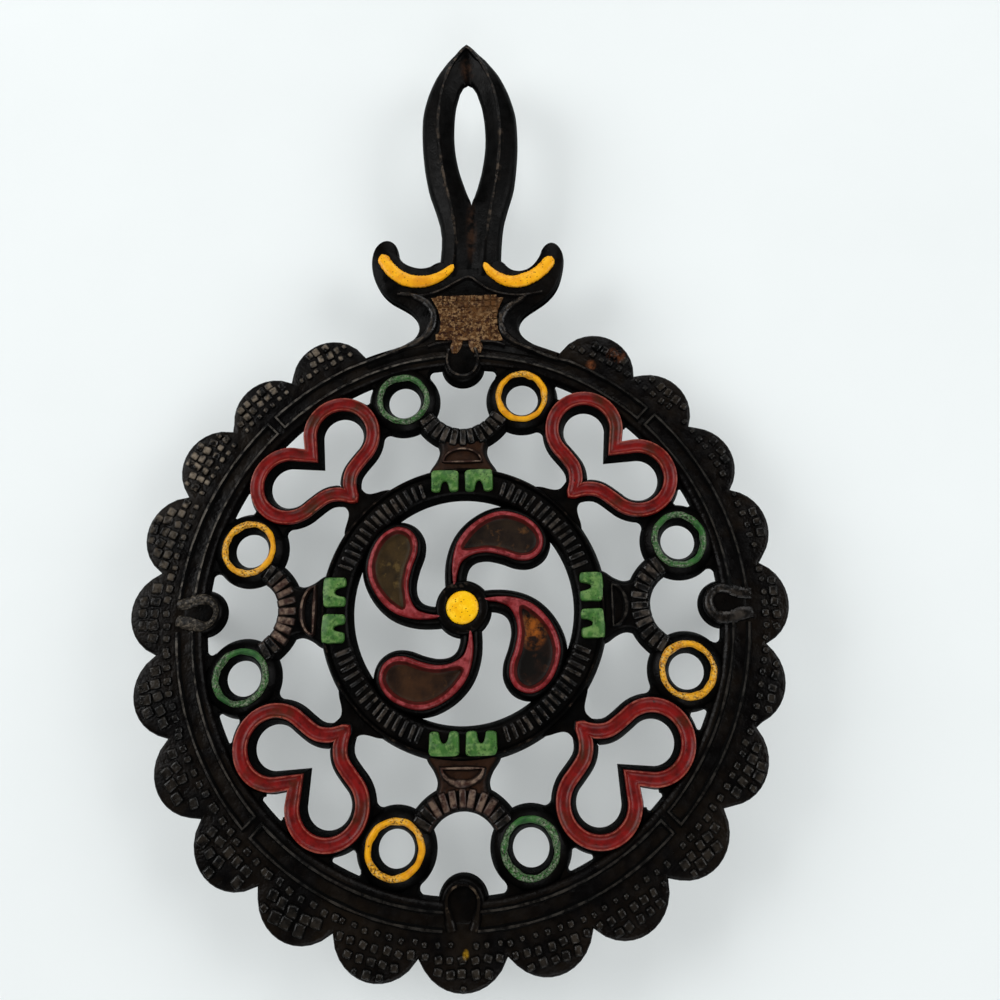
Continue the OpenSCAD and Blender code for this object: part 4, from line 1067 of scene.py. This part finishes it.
def collar_and_neck():
    bm = bmesh.new()
    line = smooth(SILHOUETTE_RIGHT, 3) + smooth(SILHOUETTE_LEFT, 3) + [Vector(p) for p in ROOT_ARC]
    plate(bm, line, [(-0.05, UNDER), (0.0, 15.8), (-0.1, 16.9), (-0.24, 17.5), (-0.42, 17.9),
                     (-0.62, 18.04)])
    members_cut(bm, NECK_END_Y, CAST_BLACK, 50, ("collar", False, None), ("neck", True, None))
    bm = bmesh.new()
    raised_line(bm, smooth(CURL, 3), 0.75, 17.85, TOP - 0.3)
    relief(bm, "collar_curl_lines")
    neck_panel()
    crescents()
    bm = bmesh.new()
    for line in (((-8.2, 61.0), (-6.2, 61.8), (-4.2, 62.0), (-2.6, 62.2)),
                 ((10.2, 61.0), (8.0, 61.8), (6.0, 62.0), (4.4, 62.2))):
        raised_line(bm, smooth(line, 3), 0.75, 17.9, TOP - 0.35)
    relief(bm, "neck_root_lines")


def neck_panel():
    """A flat panel with rows of pads, nearly level but for its rear and right edge, and two
    prongs that reach down onto the rim."""
    bm = bmesh.new()
    plate(bm, list(map(Vector, PANEL)), [(0.5, 17.8), (0.25, 18.2), (0.0, 18.42), (-0.4, 18.46)])
    for i in range(11):
        for j in range(7):
            x = -7.2 + 1.66 * i + jitter(0.25)
            y = 63.6 + 1.6 * j + jitter(0.2)
            half = 7.2 + 1.1 * abs((y - 67.5) / 5.2) ** 2
            rise = rng.random()
            if abs(x - 1.45) < half - 0.7:
                proud = 0.24 if j > 4 or x > 6.5 else 0.02
                pad(bm, (x, y), (1.5, 1.45), 18.2, 18.46 + proud + rise * 0.08, jitter(10), 0.84)
    for x, out, wide in ((-1.2, -0.6, 1.1), (3.0, 0.4, 1.35)):
        raised_line(bm, [(x, 63.4), (x, 62.3), (x + out * 0.4, 61.2), (x + out, 60.2),
                         (x + out * 1.4, 59.2)], [wide * w for w in (2.2, 2.1, 2.2, 2.0, 1.0)],
                    17.9, [18.55, 18.6, 18.62, 18.6, 18.4])
    piece("neck_waffle_panel", bm, CAST_BARE, ["neck_panel"], "worn_iron", bevel=0.12)


def crescents():
    """Two curved cushions of paint on the collar, thicker towards their outer ends."""
    bm = bmesh.new()
    n = 60
    for name, line in CRESCENTS.items():
        shapes = []
        for i in range(n):
            ends = min(i, n - 1 - i) / 4.0
            outer = i / (n - 1) if name == "right" else 1 - i / (n - 1)
            h = (0.72 + 0.8 * min(1.0, outer * 2) - 0.6 * max(0.0, outer - 0.7)) * (
                sqrt(1 - (1 - ends) ** 2) if ends < 1 else 1.0) + 0.05
            h *= up_from(0.94, 0.12)
            half = [(h * 0.5, 18.82), (h * 0.85, 18.72), (h, 18.5), (h + 0.06, 17.8)]
            shapes.append([(-s, z) for s, z in reversed(half)] + [(0, 18.85)] + half)
        sweep(bm, even(smooth(line, 4), n), shapes)
    piece("crescent_paint", bm, AMBER, ["collar_paint"], "yellow_paint")


for build in (rim, bead_lines, waffle, hearts, eyelets, corner_webs, arches, keystones, lugs,
              wheel, petals, handle_bar, collar_and_neck):
    build()


# ---- floor, light, camera

def studio():
    """A plain pale floor under soft light from above and from both sides."""
    bpy.ops.mesh.primitive_plane_add(size=4.0)
    floor = bpy.context.object
    floor.name = "floor"
    # Pale matt board with barely seen clouds of shade
    f = Finish("pale_matte_board")
    f.tint = "eff4f4"
    f.over("ebf0f0", f.patches(120.0, 0.3, 0.7, 3.0))
    f.done(0.85, 0.05)
    # seen straight, the board glows a little, which lifts the shadows as in the photograph,
    # and more far away, so that it meets the room without a grey edge
    away = f.add("VectorMath", {"operation": "LENGTH"}, in0=f.place).outputs["Value"]
    share = f.times(f.add("LightPath").outputs["Is Camera Ray"],
                    f.span(away, 0.4, 1.3, 0.38, 1.0))
    both = f.add("MixShader", in0=share, in1=f.shader.outputs[0],
                 in2=f.add("Emission", {"Strength": 0.95}, Color=f.tint).outputs[0])
    f.tree.links.new(both.outputs[0], f.tree.nodes["Material Output"].inputs["Surface"])
    floor.data.materials.append(f.mat)
    world = bpy.data.worlds.new("soft_room")
    world.use_nodes = True
    sky = world.node_tree
    sky.nodes["Background"].inputs["Color"].default_value = colour("f4f8fb")
    # the paint mirrors a dark ceiling between the windows, as it does in the photograph
    ray = add(sky, "LightPath").outputs
    level = span(sky, ray["Is Glossy Ray"], 0.0, 1.0, 0.2, 0.05)
    seen = add(sky, "Math", {"operation": "MAXIMUM"}, in0=level, in1=ray["Is Camera Ray"])
    sky.links.new(seen.outputs[0], sky.nodes["Background"].inputs["Strength"])
    bpy.context.scene.world = world
    for name, at, power in (("left", (-0.75, 0.25, 0.62), 6.3), ("right", (0.8, 0.15, 0.62), 5.0),
                            ("far", (0.1, 0.9, 0.7), 3.3), ("near", (0.1, -0.85, 0.6), 3.3)):
        lamp = bpy.data.lights.new("window_" + name, "AREA")
        lamp.size, lamp.energy = 0.6, power
        obj = bpy.data.objects.new("window_" + name, lamp)
        obj.location = at
        obj.rotation_euler = (Vector((0, 0.03, 0)) - Vector(at)).to_track_quat("-Z", "Y").to_euler()
        bpy.context.scene.collection.objects.link(obj)


def camera():
    """The photograph's view: a phone held over the trivet, tilted 21 degrees."""
    right = Vector((0.99884, -0.01282, -0.04636))
    up = Vector((0.02851, 0.93407, 0.35595))
    back = Vector((0.03874, -0.35686, 0.93336))
    data = bpy.data.cameras.new("photo_view")
    data.sensor_fit, data.sensor_width = "HORIZONTAL", 36.0
    # the photograph is 1000 pixels wide, and its focal length is 1114.5 of them
    data.lens = 36.0 * 1114.5 / 1000
    data.shift_y = -0.166
    cam = bpy.data.objects.new("photo_view", data)
    turn = Matrix((right, up, back)).transposed().to_4x4()
    cam.matrix_world = Matrix.Translation(Vector((19.35, -31.16, 266.68)) * MM) @ turn
    bpy.context.scene.collection.objects.link(cam)
    bpy.context.scene.camera = cam


studio()
camera()
bpy.context.scene.view_settings.view_transform = "Standard"
